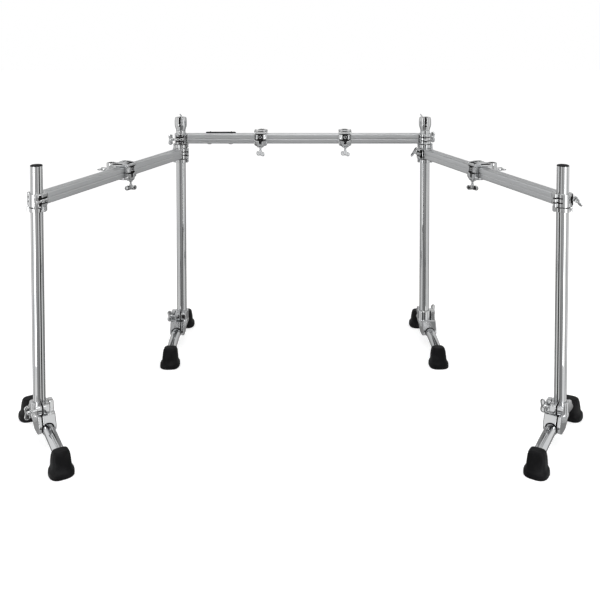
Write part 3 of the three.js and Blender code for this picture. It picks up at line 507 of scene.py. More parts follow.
def bar_outline():
    """One side with its groove, repeated four times by quarter turns."""
    groove = [(BAR_HALF, -2.6), (GROOVE_FLOOR, -2), (GROOVE_FLOOR, 2), (BAR_HALF, 2.6)]
    side = np.array([(BAR_HALF, -BAR_HALF), *groove], float)
    corners = np.concatenate([side @ spin("Z", 90 * k)[:2, :2].T for k in range(4)])
    return soften(corners, np.tile([5.0, 0.5, 0.5, 0.5, 0.5], 4), 5)


def bar(length):
    """The outline carried along X between the two ends."""
    shell = plate(bar_outline(), -length / 2, length / 2, 0.5, 2)
    return put(spin("Y", 90), [shell])


def bar_frame(first, second, height, turn):
    """The matrix that carries a bar to half way between two posts, at a height, turned about Z."""
    middle = (POSTS[first] + POSTS[second]) / 2 + (0, 0, height)
    return move(*middle) @ spin("Z", turn)


FRAME_OF_BAR = {"front": bar_frame(("left", "back"), ("right", "back"), FRONT_BAR_Z, 0)}
for side in SIDES:
    FRAME_OF_BAR[side] = bar_frame((side, "front"), (side, "back"), SIDE_BAR_Z, BAR_TURN[side])
for name, here in FRAME_OF_BAR.items():
    metal = drawn_aluminium("drawn_aluminium_" + name, BAR_TURN[name])
    dress("extrusion", name + "_bar", put(here, bar(BAR_LENGTH[name])), metal)
print("bars:", pieces_called("extrusion"))

# %% [markdown]
# A wing bolt is a turned hub on a threaded stem, with two flat lobes. The thread is real here: the radius
# of the stem rises and falls as a cosine that also shifts with the angle, so the ridge climbs like a
# screw.

# %% Wing bolts
def thread(radius, low, high, pitch=1.6, depth=0.22, steps=20):
    """A screw surface: radius less depth, plus depth times the cosine of (2 pi height / pitch - angle)."""
    height = np.arange(low, high, pitch / 6)[:, None]
    angle = full_turn(steps)[None, :]
    r = radius - depth + depth * np.cos(2 * np.pi * height / pitch - angle)
    return skin(around(r, angle, height))


def wing_bolt(grip, neck):
    """A wing bolt along Z: stem down to -grip, hub on top of the neck, and lobes side by side along X."""
    hub = [(3.2, -6), (4.6, -5.4), (5.6, -2), (6.5, 1), (6.5, 9), (5.2, 11.2), (0.4, 12)]
    right = np.concatenate([[(4, neck + 1.2)], arc(13, neck + 9, 9, -96, 106, 18), [(0, neck + 15.6)]])
    lobes = np.concatenate([right, right[-2::-1] * (-1, 1)])
    wings = put(FACING, [plate(lobes, -2.5, 2.5, 2.4, 8, dome=5.5)])
    return [thread(4.0, -grip, neck - 5), turned(np.add(hub, (0, neck)), 40), *wings]


print("a wing bolt has", sum(len(shell[1]) for shell in wing_bolt(27, 15)), "faces")

# %% [markdown]
# The clamp at each bar end is one casting: a band round the post, a throat that swells to the square
# flange on the bar, two ears with the wing bolt across them, and on the other side the hinge knuckle with
# its pin. Black pieces of painted shade show as dark seams between the knuckle's leaves and between the
# ears, as in the photograph.

# %% Bar clamps
BAND_INNER, BAND_WALL, BAND_OUTER, BAND_HALF = 19.35, 22, 24.55, 20.5
EAR_INSIDE, EAR_OUTSIDE = 2.25, 11.75
BAR_AWAY, BOLT_AWAY, PIN_AWAY = 29, 29, 29.5  # from the post's axis: the bar's end, wing bolt and hinge pin


def throat():
    """Softened squares along X, narrow like a waist, pushed out to x = sqrt(wall^2 - y^2) at the band."""
    along, half_width, half_height = np.array([
        (9.0, 0.4, 0.4), (9.0, 9.0, 10.0), (9.0, 15.0, 16.0), (9.0, 19.2, 20.3),
        (14.5, 18.2, 19.2), (17.5, 16.4, 17.2), (20.0, 16.6, 17.0), (22.4, 18.4, 18.4),
    ]).T[:, :, None]
    square = box_profile(-1, 1, -1, 1, 0.34, 6)
    y, z = half_width * square[None, :, 0], half_height * square[None, :, 1]
    return skin(np.stack([np.maximum(along, np.sqrt(BAND_WALL**2 - y**2)), y, z], -1))


def knuckle():
    """Three short barrels on one pin, each with the web that carries it."""
    shells = [rod(2.6, -20.4, 21.6, 0.9, 24)]
    web = soften([(-4.5, -8), (4.5, -8), (4.5, 4), (-4.5, 4)], 1)
    for low, high in ((-BAND_HALF, -9), (-5.3, 5.3), (9, BAND_HALF)):
        shells += [rod(6.5, low, high, 0.8, 40), plate(web, low, high, 0.8)]
    return put(move(0, PIN_AWAY, 0), shells)


def bar_clamp():
    """The whole clamp, with the post along Z at the origin and the bar leaving along X."""
    band = split_band(box_profile(BAND_INNER, BAND_OUTER, -BAND_HALF, BAND_HALF, 1.6), -84, 264, 90)
    ear = soften([(-19.6, -6), (-37, -6), (-37, 6), (-19.6, 6)], [0.5, 5, 5, 0.5], 8)
    ears = [plate(ear, EAR_INSIDE, EAR_OUTSIDE, 1.4), plate(ear, -EAR_OUTSIDE, -EAR_INSIDE, 1.4)]
    leaf = soften([(-16.5, -17.5), (16.5, -17.5), (14.5, -31), (-14.5, -31)], [0.5, 0.5, 7, 7], 8)
    leaves = [plate(leaf, 10.2, 20, 1.4), plate(leaf, -20, -10.2, 1.4)]
    flange = plate(box_profile(-BAR_HALF, BAR_HALF, -BAR_HALF, BAR_HALF, 5, 6), 21.7, 28.7, 1.3)
    nut = put(ENDWISE @ move(-BOLT_AWAY, 0, 0), [plate(hexagon(7.2), EAR_OUTSIDE, EAR_OUTSIDE + 3, 0.5)])
    return [band, throat(), *put(ENDWISE, ears), *leaves, *put(spin("Y", 90), [flange]), *knuckle(), *nut]


def clamp_painted_shade():
    """The black painted shade that shows between the ears' leaves, and as two seams between the knuckle's.
    """
    pin = put(move(0, PIN_AWAY, 0), [rod(5.6, -19, 19, 0.6, 32)])
    seams = [split_band(box_profile(23, 24.7, low, low + 3.6, 0.1), 38, 142, 40) for low in (-8.9, 5.3)]
    return [block(-16, 16, -30, -19, -17.5, 17.5, 5, 0.8), *pin, *seams]


BAR_ENDS = {"front": ("left", "right"), "left": ("front", "back"), "right": ("back", "front")}
for name, ends in BAR_ENDS.items():
    reach = BAR_LENGTH[name] / 2 + BAR_AWAY
    for end, side_of_bar in zip(ends, (-reach, reach)):
        here = FRAME_OF_BAR[name] @ move(side_of_bar, 0, 0)
        if side_of_bar > 0:
            here = here @ spin("Z", 180)  # the far end has the same casting, turned half round
        node = f"{name}_bar_clamp_{end}"
        cast("casting", node, put(here, bar_clamp()))
        paint_shade(node, put(here, clamp_painted_shade()))
        turn = 36 if name == "right" else 0
        beside_ear = here @ move(-EAR_OUTSIDE - FIT, -BOLT_AWAY, 0) @ spin("Y", -90) @ spin("Z", turn)
        cast("screw", f"{name}_bar_clamp_wing_{end}", put(beside_ear, wing_bolt(27.5, 15)))
print("clamps and bolts:", pieces_called("casting", "screw"))

# %% [markdown]
# A memory lock is a narrow split ring. It marks the height of the clamp above it, so the rack goes
# together the same way each time. A square-headed key bolt closes it on one side, and on the other sits a
# small hinge.

# %% Memory locks
LOCK_HALF = 8


def memory_lock():
    """The ring, its ear pair with the key bolt at +X, and the hinge at -X."""
    ring = split_band(box_profile(BAND_INNER, 23.55, -LOCK_HALF, 5.4, 1.2), 5, 355, 80)
    ear = soften([(20.4, 1.5), (30, 1.5), (30, 10.5), (20.4, 10.5)], [0.3, 1, 4.5, 0.5], 5)
    hinge = soften([(-21, -8), (-30, -8), (-30, 8), (-21, 8)], [0.5, 4.5, 4.5, 0.5], 5)
    lugs = [plate(outline, -LOCK_HALF, LOCK_HALF, 1.2) for outline in (ear, ear * (1, -1), hinge)]
    pin = put(move(-25.5, 0, 0), [rod(2.2, -8.7, 8.7, 0.7, 20)])
    head = soften([(-3.6, 0), (0, -3.6), (3.6, 0), (0, 3.6)], 0.5)
    bolt = [thread(2.6, -4, 11.4), rod(4.4, 10.3, 11.5, 0.3, 28), plate(head, 11.2, 15.4, 0.5)]
    return [ring, *lugs, *pin, *put(move(25, 0, 0) @ FACING, bolt)]


LOCKS = {
    # the post's end of the rack, and the height of the clamp that the lock lies under
    "front": ("front", SIDE_BAR_Z),
    "back_upper": ("back", FRONT_BAR_Z),
    "back_lower": ("back", SIDE_BAR_Z),
}
for side in SIDES:
    for name, (end, clamp_z) in LOCKS.items():
        node = f"memory_lock_{side}_{name}"
        here = move(*POSTS[side, end][:2], clamp_z - BAND_HALF - FIT - LOCK_HALF)
        cast("ring", node, put(here, memory_lock()))
        # a black ring of painted shade fills the gap between the lock and the clamp above it
        paint_shade(node, put(here, [bush(BAND_INNER, 22.8, 5.5, LOCK_HALF, 0.4)]))
print("locks:", pieces_called("ring"))

# %% [markdown]
# The tube holder is a barrel in the top of each back post. Its bore is open, its front wall is slit so
# that it can be pinched, and the wing bolt behind it does the pinching. Under the slit sits a small round
# screw with a recess. Black pieces of painted shade darken the bore and the recess.

# %% Tube holders
BORE, HOLDER_BOLT_Z, HOLDER_SCREW_Z = 13, 40, 20.5
HALF_SLIT = 9.5  # degrees


def tube_holder():
    """A turned lower body, an upper wall carried round the bore from slit to slit, and the two bosses."""
    lower = [
        (16.6, -28), (16.6, -0.5), (18.6, 0.5), (20.4, 6.5),
        (24.4, 20), (24.6, 26), (BORE, 26.2), (BORE, 8.1),
    ]
    lower = soften(lower, [1.5, 1.5, 1.5, 1.5, 1.5, 0.1, 0.1, 0.1], 4)[2:-2]
    upper = [(BORE, 25.6), (24.6, 25.6), (24.6, 41), (22.2, 52), (13.6, 52), (BORE, 50)]
    upper = soften(upper, [0.1, 0.1, 6, 1.2, 0.8, 0.8], 5)
    upper = split_band(upper, -90 + HALF_SLIT, 270 - HALF_SLIT, 90)
    boss = soften([(0.5, 15), (10.5, 15), (8.5, 22), (8.5, 33), (5, 33)], 1.0, 4)[2:-2]
    boss = put(move(0, 0, HOLDER_BOLT_Z), put(spin("X", -90), [turned(boss, 40)]))
    screw = put(move(0, 0, HOLDER_SCREW_Z), put(FACING, [rod(5.5, 14, 26.6, 0.8, 36)]))
    return [turned(lower, 80), upper, *boss, *screw]


def holder_painted_shade():
    """Painted shade: black in the bore, and in the screw's recess."""
    recess = put(move(0, 0, HOLDER_SCREW_Z) @ FACING, [rod(3.4, 20, 27.0, 0.4, 32)])
    cup = [bush(12.5, 12.95, 8.4, 26.1, 0.1, 60), rod(12.4, 8.3, 8.9, 0.2, 48)]
    return [split_band(box_profile(12.5, 12.95, 26.4, 50, 0.1), -80, 260, 60), *cup, *recess]


for side in SIDES:
    here = move(*POSTS[side, "back"][:2], BACK_TOP)
    node = "tube_holder_" + side
    cast("barrel", node, put(here, tube_holder()))
    paint_shade(node, put(here, holder_painted_shade()))
    behind = here @ move(0, 33.3, HOLDER_BOLT_Z) @ spin("X", -90) @ spin("Z", 55)
    cast("screw", "tube_holder_wing_" + side, put(behind, wing_bolt(19.7, 9)))
print("holders:", pieces_called("barrel"))

# %% [markdown]
# The T-leg is a casting with a collar for the post above and a saddle round the arched tube below. The
# collar is slit on the side of the ears, and the wing bolt draws it together. A hexagon nut sits in the
# other ear. The tube passes a little to one side of the post's axis, so the casting comes in two hands.

# %% T-leg castings
LEG_ASIDE = 15
LEG_BOLT_X, LEG_BOLT_Z = 33, 128
MOUTH_Z = 66.9


def leg_casting(hand):
    """Collar, skirt, ears, split saddle and nut about the post. The leg tube lies aside, at Y times hand."""
    wall = [(19.35, 96), (25.85, 96), (25.85, 140.5), (23.6, 143), (19.35, 143)]
    collar = split_band(soften(wall, [0.1, 0.1, 1.2, 1.2, 0.8], 4), 5, 355, 90)
    skirt = turned([(20, 80), (27, 100), (26.6, 105), (25.7, 110), (20, 110.5)], 72)
    ear = soften([(19.8, 113), (46, 113), (46, 143), (19.8, 143)], [0.5, 12, 12, 0.5], 10)
    ears = put(FACING, [plate(ear, 2, 21, 2.2, 5), plate(ear, -21, -2, 2.2, 5)])
    side = [(-20, 44), (20, 44), (44, 58), (45.2, 76), (29, 109), (-29, 109), (-45.2, 76), (-44, 58)]
    cheek = soften(side, [6, 6, 7, 7, 9, 9, 7, 7], 7)
    slab = soften([(-23, 92), (23, 92), (16, 140), (-16, 140)], [2, 2, 8, 8], 8)
    back = soften([(-20, 44), (-2, 44), (-2, 108), (-28, 108), (-45, 76), (-44, 58)], 5)
    saddle = [plate(back, -3, 3, 0.4)]
    halves = ((cheek, 1.9, 41.5, 3.0), (cheek, -11.5, -1.9, 1.6), (slab, 25, 40.5, 3.0))
    for outline, near, far, edge in halves:
        low, high = sorted((-near * hand, -far * hand))
        saddle.append(plate(outline, low, high, edge, 5))
    nut = put(move(LEG_BOLT_X, 18.2, LEG_BOLT_Z) @ spin("X", -90), [plate(hexagon(6.6), -1, 2.6, 0.5)])
    return [collar, skirt, *ears, *put(FACING, saddle), *nut]


def leg_painted_shade(hand):
    """Painted shade: black in the slit down the casting, and in the ring-shaped gap round the tube at each
    mouth.
    """
    slit = [(15, 60), (42, 60), (42, 76), (27, 108), (41, 113), (41, 140), (20, 140), (15, 108)]
    shells = put(FACING, [plate(soften(slit, 1), -1.8, 1.8, 0.2)])
    for turn in (90, -90):
        mouth = move(0, LEG_ASIDE * hand, MOUTH_Z) @ spin("Y", turn)
        shells += put(mouth, [bush(17.7, 19.6, 44.4, 45.9, 0.3)])
    return shells


print("a T-leg casting has", sum(len(shell[1]) for shell in leg_casting(1)), "faces")

# %% [markdown]
# The leg tube is bent to a long, gentle arch, so its middle clears the floor and its ends come down into
# the boots. It is a circle carried along part of a much larger circle.

# %% Leg tubes
LEG_RADIUS, LEG_REACH = 17.5, 190
ARCH_RADIUS, ARCH_TOP = 900, 68


def leg_tube():
    """A circle carried along z = top + sqrt(R^2 - x^2) - R and leaning by arcsin(x / R), square to it."""
    x = np.linspace(-LEG_REACH, LEG_REACH, 60)[:, None]
    z = ARCH_TOP + np.sqrt(ARCH_RADIUS**2 - x**2) - ARCH_RADIUS
    lean = np.arcsin(x / ARCH_RADIUS)
    angle = full_turn(64)[None, :]
    out = LEG_RADIUS * np.cos(angle)
    across = LEG_RADIUS * np.sin(angle) + 0 * x
    return skin(np.stack([x + out * np.sin(lean), across, z + out * np.cos(lean)], -1))


drop = ARCH_RADIUS - np.sqrt(ARCH_RADIUS**2 - LEG_REACH**2)
print("the arch's ends lie", round(float(drop), 1), "mm lower than its middle")

# %% [markdown]
# Each boot is a soft cone of rubber with a wide, round sole and a small flat on top. Its rings are squashed
# circles, |cos|^p and |sin|^p with p under one, whose ends and width follow a smooth curve in height.

# %% Rubber boots
BOOT_LENGTH, BOOT_WIDTH, BOOT_HEIGHT, BOOT_CENTRE = 76, 75, 70, 194
BOOT_LEVELS = np.array([
    # up, inner end, outer end and half width, as shares of the boot's sizes
    (0.0, -0.466, 0.466, 0.466), (0.02, -0.485, 0.485, 0.485), (0.06, -0.49, 0.49, 0.49),
    (0.18, -0.487, 0.487, 0.487), (0.24, -0.485, 0.475, 0.475), (0.29, -0.467, 0.425, 0.43),
    (0.34, -0.457, 0.385, 0.4), (0.42, -0.444, 0.345, 0.388), (0.6, -0.415, 0.285, 0.375),
    (0.78, -0.378, 0.225, 0.36), (0.88, -0.352, 0.19, 0.34), (0.94, -0.325, 0.165, 0.315),
    (0.975, -0.3, 0.14, 0.292), (0.99, -0.285, 0.125, 0.275), (1.0, -0.265, 0.105, 0.25),
])


def boot():
    """Rings at even heights, each a squashed circle between the ends and the width read off the levels."""
    up = np.linspace(0, 1, 44)
    inner, outer, half = (np.interp(up, BOOT_LEVELS[:, 0], BOOT_LEVELS[:, k])[:, None] for k in (1, 2, 3))
    angle = full_turn(64)[None, :]
    power = np.interp(up, [0.24, 0.5], [0.74, 0.56])[:, None]
    middle = BOOT_CENTRE + BOOT_LENGTH * ((inner + outer) / 2)
    x = middle + BOOT_LENGTH * ((outer - inner) / 2) * squash(np.cos(angle), power)
    y = BOOT_WIDTH * half * squash(np.sin(angle), power)
    return skin(np.stack([x, y, BOOT_HEIGHT * up[:, None] + 0 * angle], -1))


print("a boot has", len(boot()[1]), "faces")

# %% Four T-legs
LEGS = {
    # the post: how far its leg is turned, its hand, and the names of its boots at +X and -X
    ("left", "front"): (-58.5, 1, ("near", "far")),
    ("left", "back"): (-90, -1, ("near", "far")),
    ("right", "front"): (-121.5, -1, ("near", "far")),
    ("right", "back"): (94.5, -1, ("far", "near")),
}
for (side, end), (leg_turn, hand, boots) in LEGS.items():
    name = f"{side}_{end}"
    here = move(*POSTS[side, end]) @ spin("Z", leg_turn)
    cast("saddle", "leg_casting_" + name, put(here, leg_casting(hand)))
    paint_shade("leg_casting_" + name, put(here, leg_painted_shade(hand)))
    aside = here @ move(0, LEG_ASIDE * hand, 0)
    dress("arch", "leg_tube_" + name, put(aside, [leg_tube()]), TUBE_CHROME)
    beside_ear = here @ move(LEG_BOLT_X, -21.3, LEG_BOLT_Z) @ FACING @ spin("Z", 90)
    cast("screw", "leg_wing_" + name, put(beside_ear, wing_bolt(39.5, 14)))
    for which, half_turn in zip(boots, (0, 180)):
        rubber = put(aside @ spin("Z", half_turn), [boot()])
        dress("rubber", f"boot_{name}_{which}", rubber, BOOT_RUBBER)
print("leg pieces:", pieces_called("saddle", "arch", "rubber"))

# %% [markdown]
# An accessory clamp grips the bar between an upper and a lower jaw. Its top is a loop of metal round a
# window, with a rail on each side. In front, cheeks stand above and below the seam with a small round nut
# between them, and the wing bolt hangs below from a ring nut. Behind the bar, shoulders carry a round
# socket for a boom, with a set screw of its own.

# %% Accessory clamps
JAW_HALF = 25  # half the clamp's length along the bar
JAW_NEAR, JAW_FAR, CHEEK_FAR = 19.3, 26.8, 34.9  # out from the bar's middle
SOCKET_Y, HANGING_Y = 56, -27.5


def loop(half_x, low_y, high_y, band, low, high, steps=80):
    """A softened box profile carried round a path (x |cos|^p, y |sin|^p), as for metal round a window."""
    t = full_turn(steps)
    middle, half_y, power = (low_y + high_y) / 2, (high_y - low_y) / 2, 0.5
    path = np.stack([half_x * squash(np.cos(t), power), middle + half_y * squash(np.sin(t), power)], -1)
    tangent = np.roll(path, -1, 0) - np.roll(path, 1, 0)
    tangent /= np.linalg.norm(tangent, axis=1, keepdims=True)
    side = np.stack([tangent[:, 1], -tangent[:, 0]], -1)
    profile = box_profile(-band / 2, band / 2, low, high, 1.4)
    flat = path[:, None] + side[:, None] * profile[None, :, :1]
    rings = np.concatenate([flat, np.broadcast_to(profile[None, :, 1:], flat.shape[:2] + (1,))], -1)
    return skin(rings, wrap=True)


def front_and_back():
    """The round nut in the seam, the ring nut below, and the socket with its carrier and its screw."""
    nut = put(move(0, 0, 9.5) @ FACING, [bush(3.9, 6.4, 27, 34.6, 0.9, 40)])
    ring_nut = turned([(5.6, -34.8), (6.8, -34.2), (7.2, -31.5), (7.2, -29.5), (5, -29)], 44)
    carrier = block(-18, 18, JAW_NEAR, 44.8, -20, 19.5, 2)
    socket = put(move(0, SOCKET_Y, 0), [bush(11.3, 17.3, -20, JAW_FAR, 1.2)])
    screw = [turned([(8.4, 14), (7.2, 19), (6.5, 21.3)], 40), *put(move(0, 0, 21.3), wing_bolt(3, 12))]
    screw = put(move(0, SOCKET_Y, 0) @ spin("X", -90), screw)
    return [*nut, *put(move(0, HANGING_Y, 0), [ring_nut]), carrier, *socket, *screw]


def accessory_clamp():
    """All of the clamp but the hanging bolt: the bar runs along X, the drummer is at -Y."""
    foot = [(-14, -35), (14, -35), (25, -12), (25, JAW_FAR), (-25, JAW_FAR), (-25, -12)]
    foot = soften(foot, [4, 4, 5, 3, 3, 5])
    rail = [(-34.5, 19.6), (39, 19.6), (39, 27), (20, 34.8), (-14, 34.8), (-34.5, 31)]
    rail = soften(rail, [1, 2, 3, 9, 9, 4], 6)
    upper = soften([(10, -34.9), (13.5, -34.9), (25, -29.5), (25, -19.3), (10, -19.3)], [1, 3, 2, 1, 1], 6)
    lower = soften([(5, -7), (12, -5), (25, -1.5), (25, -19), (17, -21), (12, -30.8), (5, -30.8)], 1.5)
    shoulder = soften([(12.4, 40), (18, 40), (17.4, 55), (13.2, 53), (12.4, 47)], [0.5, 0.5, 2, 0.5, 2])
    wall = plate(box_profile(-JAW_HALF, JAW_HALF, -26, 26, 3), -JAW_FAR, -JAW_NEAR, 1.2)
    shells = [
        loop(17.2, -11, 39, 14.5, JAW_NEAR, JAW_FAR),
        block(-JAW_HALF, JAW_HALF, -35, -4, 22.6, JAW_FAR, 6),
        plate(foot, -JAW_FAR, -JAW_NEAR, 1.6),
        *put(FACING, [wall]),
    ]
    for hand in (-1, 1):
        near, far = sorted((hand * 18.2, hand * JAW_HALF))
        shells += put(ENDWISE, [plate(rail, near, far, 1.8)])
        shells += put(FACING, [plate(lower * (hand, 1), JAW_NEAR, CHEEK_FAR, 2.4, 5)])
        shells += [plate(upper * (hand, 1), 0.5, 19.5, 1.4), plate(shoulder * (hand, 1), -20, 19.5, 0.8)]
    return shells + front_and_back()


def accessory_painted_shade():
    """Painted shade: black behind the cheeks, under the top deck, in the window, and in a slot along each
    rail.
    """
    behind = soften([(-21, 17), (21, 17), (21, -17), (12, -28), (-12, -28), (-21, -17)], 2)
    slot = soften([(-10, 27.6), (32, 25), (32, 28), (20, 31.4), (-10, 31.4)], [1.5, 1, 1.2, 2, 1.5])
    slots = put(ENDWISE, [plate(slot, -25.12, -24, 0.1), plate(slot, 24, 25.12, 0.1)])
    deck = block(-14, 14, -34.4, -20, 19.4, 22.5, 1.5, 0.3)
    window = block(-12, 12, -7, 31, 19.35, 22, 3, 0.3)
    return [*put(FACING, [plate(behind, 19.6, 31.4, 0.6)]), *slots, deck, window]


print("an accessory clamp has", sum(len(shell[1]) for shell in accessory_clamp()), "faces")

# %% Four accessory clamps
PLACES = {
    # the bar, the place along it from its middle, and the turn of the wings
    "front_left": ("front", -167.5, 40),
    "front_right": ("front", 167.5, 40),
    "left": ("left", 37.0, 40),
    "right": ("right", -37.0, -40),
}
for name, (bar_name, along, turn) in PLACES.items():
    here = FRAME_OF_BAR[bar_name] @ move(along, 0, 0)
    node = "accessory_clamp_" + name
    cast("jaw", node, put(here, accessory_clamp()))
    paint_shade(node, put(here, accessory_painted_shade()))
    below = here @ move(0, HANGING_Y, -35.1) @ spin("X", 180) @ spin("Z", turn)
    cast("screw", "accessory_wing_" + name, put(below, wing_bolt(47.1, 13)))
print("accessory clamps:", pieces_called("jaw"))

# %% [markdown]
# On the far side of the front bar a bare black plate shows its upper edge over the bar. It is thin trim,
# held by two clips with round-headed screws, and it is left blank.

# %% Plate behind the front bar
PLATE_X, SCREWS_X = -329, (-42, 42)
blank = put(FACING, [plate(box_profile(-60, 60, -13, 22.8, 3, 4), -22.4, -19.2, 0.5)])
heads = [put(move(x, 19, 21.2) @ FACING, [rod(3.4, -2.4, 2.2, 0.6, 32)])[0] for x in SCREWS_X]
clips = [block(x - 8, x + 8, -14, 14, -22.2, -19.15, 5, 1.4) for x in SCREWS_X]
here = FRAME_OF_BAR["front"] @ move(PLATE_X, 0, 0)
piece("blank_plate", put(here, blank), "front_frame", PLATE_BLACK)
piece("blank_plate_screws", put(here, heads), "front_frame", CAP_PLASTIC)
piece("blank_plate_clips", put(here, clips), "front_frame", CAST_CHROME)
print("plate pieces:", pieces_called("blank"))

# %% [markdown]
# The studio is a white floor under a white sky. The floor glows, but only for rays that carry no light to
# the rack, so it shows white and keeps the rack's shadow. Mirrors don't see the floor at all, which lets
# the walls of the next step run on below it.

# %% Floor
FLOOR_REACH = 12
FLOOR_GLOW = 0.42


def stage_mesh(name, corners, material):
    """A four-sided sheet that is not part of the object."""
    mesh = bpy.data.meshes.new(name)
    mesh.from_pydata([tuple(map(float, corner)) for corner in corners], [], [(0, 1, 2, 3)])
    mesh.materials.append(material)
    shown = bpy.data.objects.new(name, mesh)
    bpy.context.scene.collection.objects.link(shown)
    return shown


def level_sheet(half_x, half_y, z):
    """The corners of a level sheet about the origin."""
    return [(-half_x, -half_y, z), (half_x, -half_y, z), (half_x, half_y, z), (-half_x, half_y, z)]


def not_lit(nodes, links):
    """One for a ray from the camera, a mirror or glass, and nothing for a ray that carries light."""
    path = nodes.new("ShaderNodeLightPath")
    total = path.outputs["Is Camera Ray"]
    for kind in ("Is Glossy Ray", "Is Transmission Ray"):
        either = nodes.new("ShaderNodeMath")
        either.operation = "MAXIMUM"
        links.new(total, either.inputs[0])
        links.new(path.outputs[kind], either.inputs[1])
        total = either.outputs["Value"]
    return total


floor_paint, nodes, links, shader, _ = new_material("floor_paint")
shader.inputs["Base Color"].default_value = (0.86, 0.86, 0.86, 1)
shader.inputs["Roughness"].default_value = 0.8
shader.inputs["Specular IOR Level"].default_value = 0.05
shader.inputs["Emission Color"].default_value = (1, 1, 1, 1)
glow = nodes.new("ShaderNodeMath")
glow.operation = "MULTIPLY"
glow.inputs[1].default_value = FLOOR_GLOW
links.new(not_lit(nodes, links), glow.inputs[0])
links.new(glow.outputs["Value"], shader.inputs["Emission Strength"])
floor = stage_mesh("floor", level_sheet(FLOOR_REACH, FLOOR_REACH, 0), floor_paint)
floor.visible_glossy = False
print("floor:", FLOOR_REACH * 2, "m square")

# %% [markdown]
# Chrome only looks like chrome when it has something to mirror. Grey walls, a ceiling and a sheet below
# the floor make a room round the rack, and the gaps between them show the white sky as bright streaks.
# Two black flags before the rack draw the dark streaks on the posts, and two grey cards stand under the
# side bars. All of them are seen in reflections alone. The walls run on below the floor, so the posts
# mirror the same lines from top to foot, as they do in the photograph.

# %% Walls, flags and ceiling
ROOM, ROOM_FRONT, ROOM_BACK = 3.2, -2.9, 3.0
LOWEST, HIGHEST = -3.0, 3.4
SHADE_FOOT, SHADE_TOP = -1.0, 0.6


def graded_grey(name, level, foot):
    """A paint that glows: one grey from SHADE_TOP up, another from SHADE_FOOT down, and a blend between."""
    material, nodes, links, shader, where = new_material(name)
    height = nodes.new("ShaderNodeSeparateXYZ")
    links.new(where, height.inputs["Vector"])
    shade = ranged(nodes, links, height.outputs["Z"], SHADE_FOOT, SHADE_TOP, 0.0, 1.0)
    stops = [(0.0, (foot, foot, foot)), (1.0, (level, level, level))]
    links.new(coloured(nodes, links, shade, stops), shader.inputs["Emission Color"])
    shader.inputs["Base Color"].default_value = (0, 0, 0, 1)
    shader.inputs["Specular IOR Level"].default_value = 0
    shader.inputs["Emission Strength"].default_value = 1.0
    return material


CARDS = [
    # left x and y, right x and y, lowest and highest z, and the grey above and below
    (0.67, -0.70, 0.47, -1.27, LOWEST, HIGHEST, 0.03, 0.03),
    (-0.66, -0.70, -0.46, -1.27, LOWEST, HIGHEST, 0.03, 0.03),
    (0.75, -0.01, 0.63, -0.07, 0.0, 0.74, 0.3, 0.3),
    (-0.75, -0.01, -0.63, -0.07, 0.0, 0.74, 0.3, 0.3),
    (-1.5, ROOM_FRONT, 1.5, ROOM_FRONT, LOWEST, HIGHEST, 0.58, 0.3),
    (-ROOM, ROOM_BACK, ROOM, ROOM_BACK, LOWEST, 2.1, 0.70, 0.26),
    (-ROOM, ROOM_BACK, ROOM, ROOM_BACK, 2.1, HIGHEST, 0.08, 0.08),
    (ROOM, ROOM_BACK, ROOM, 0.8, LOWEST, HIGHEST, 0.52, 0.28),
    (-ROOM, 0.8, -ROOM, ROOM_BACK, LOWEST, HIGHEST, 0.74, 0.34),
    (ROOM, -0.5, ROOM, -1.4, LOWEST, HIGHEST, 0.55, 0.4),
    (-ROOM, -1.4, -ROOM, -0.5, LOWEST, HIGHEST, 0.55, 0.4),
]
sheets = []
for left_x, left_y, right_x, right_y, low, high, level, foot in CARDS:
    left, right = (left_x, left_y), (right_x, right_y)
    sheets.append(([(*left, low), (*right, low), (*right, high), (*left, high)], level, foot))
for z, level in ((3.5, 0.7), (-2.6, 0.55)):  # the ceiling, and the sheet below the floor
    sheets.append((level_sheet(3.6, 3.2, z), level, level))
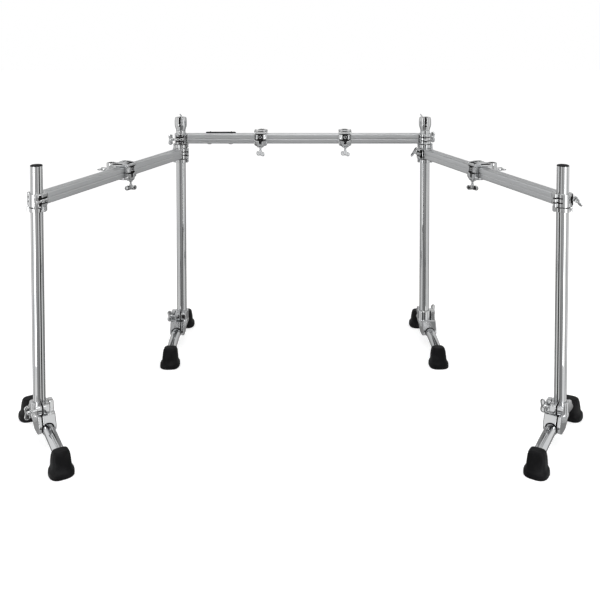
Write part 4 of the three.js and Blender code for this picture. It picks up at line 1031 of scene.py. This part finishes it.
for index, (corners, level, foot) in enumerate(sheets):
    card = stage_mesh(f"card_{index}", corners, graded_grey(f"card_grey_{index}", level, foot))
    card.visible_camera = card.visible_diffuse = card.visible_shadow = card.visible_transmission = False
print("cards:", len(sheets))

# %% [markdown]
# The sky lights the rack evenly at one strength, and shows as white at another. Two tall, weak strips and a
# wide lamp overhead give the round forms their soft lights.

# %% World and lamps
SKY_LIGHT, SKY_SEEN = 0.72, 1.0
world = bpy.data.worlds.new("studio")
world.use_nodes = True
nodes, links = world.node_tree.nodes, world.node_tree.links
ambient = nodes["Background"]
seen = nodes.new("ShaderNodeBackground")
for sky, strength in ((ambient, SKY_LIGHT), (seen, SKY_SEEN)):
    sky.inputs["Color"].default_value = (1, 1, 1, 1)
    sky.inputs["Strength"].default_value = strength
mix = nodes.new("ShaderNodeMixShader")
links.new(not_lit(nodes, links), mix.inputs["Fac"])
links.new(ambient.outputs["Background"], mix.inputs[1])
links.new(seen.outputs["Background"], mix.inputs[2])
links.new(mix.outputs["Shader"], nodes["World Output"].inputs["Surface"])
bpy.context.scene.world = world

LAMPS = {
    # place, what it faces, width, height and power
    "strip_left": ((-1.35, -1.33, 1.0), (-0.4, 0.3, 1.0), 0.3, 2.4, 9),
    "strip_right": ((1.35, -1.33, 1.0), (0.4, 0.3, 1.0), 0.3, 2.4, 9),
    "top": ((0.0, -1.4, 3.2), (0.0, 0.2, 0.0), 1.8, 1.8, 24),
}
for name, (place, target, width, height, power) in LAMPS.items():
    lamp = bpy.data.lights.new(name, "AREA")
    lamp.shape = "RECTANGLE"
    lamp.size, lamp.size_y = width, height
    lamp.energy = power
    shown = bpy.data.objects.new(name, lamp)
    shown.location = place
    x, y, z = np.array(target) - np.array(place)
    shown.rotation_euler = (np.arctan2(np.hypot(x, y), -z), 0, np.arctan2(y, x) - np.pi / 2)
    bpy.context.scene.collection.objects.link(shown)
bpy.context.scene.view_settings.view_transform = "Standard"
print("lamps:", len(LAMPS))

# %% [markdown]
# The pieces are counted, with the faces they have.

print("pieces:", len(PIECES), "faces:", sum(PIECES.values()))
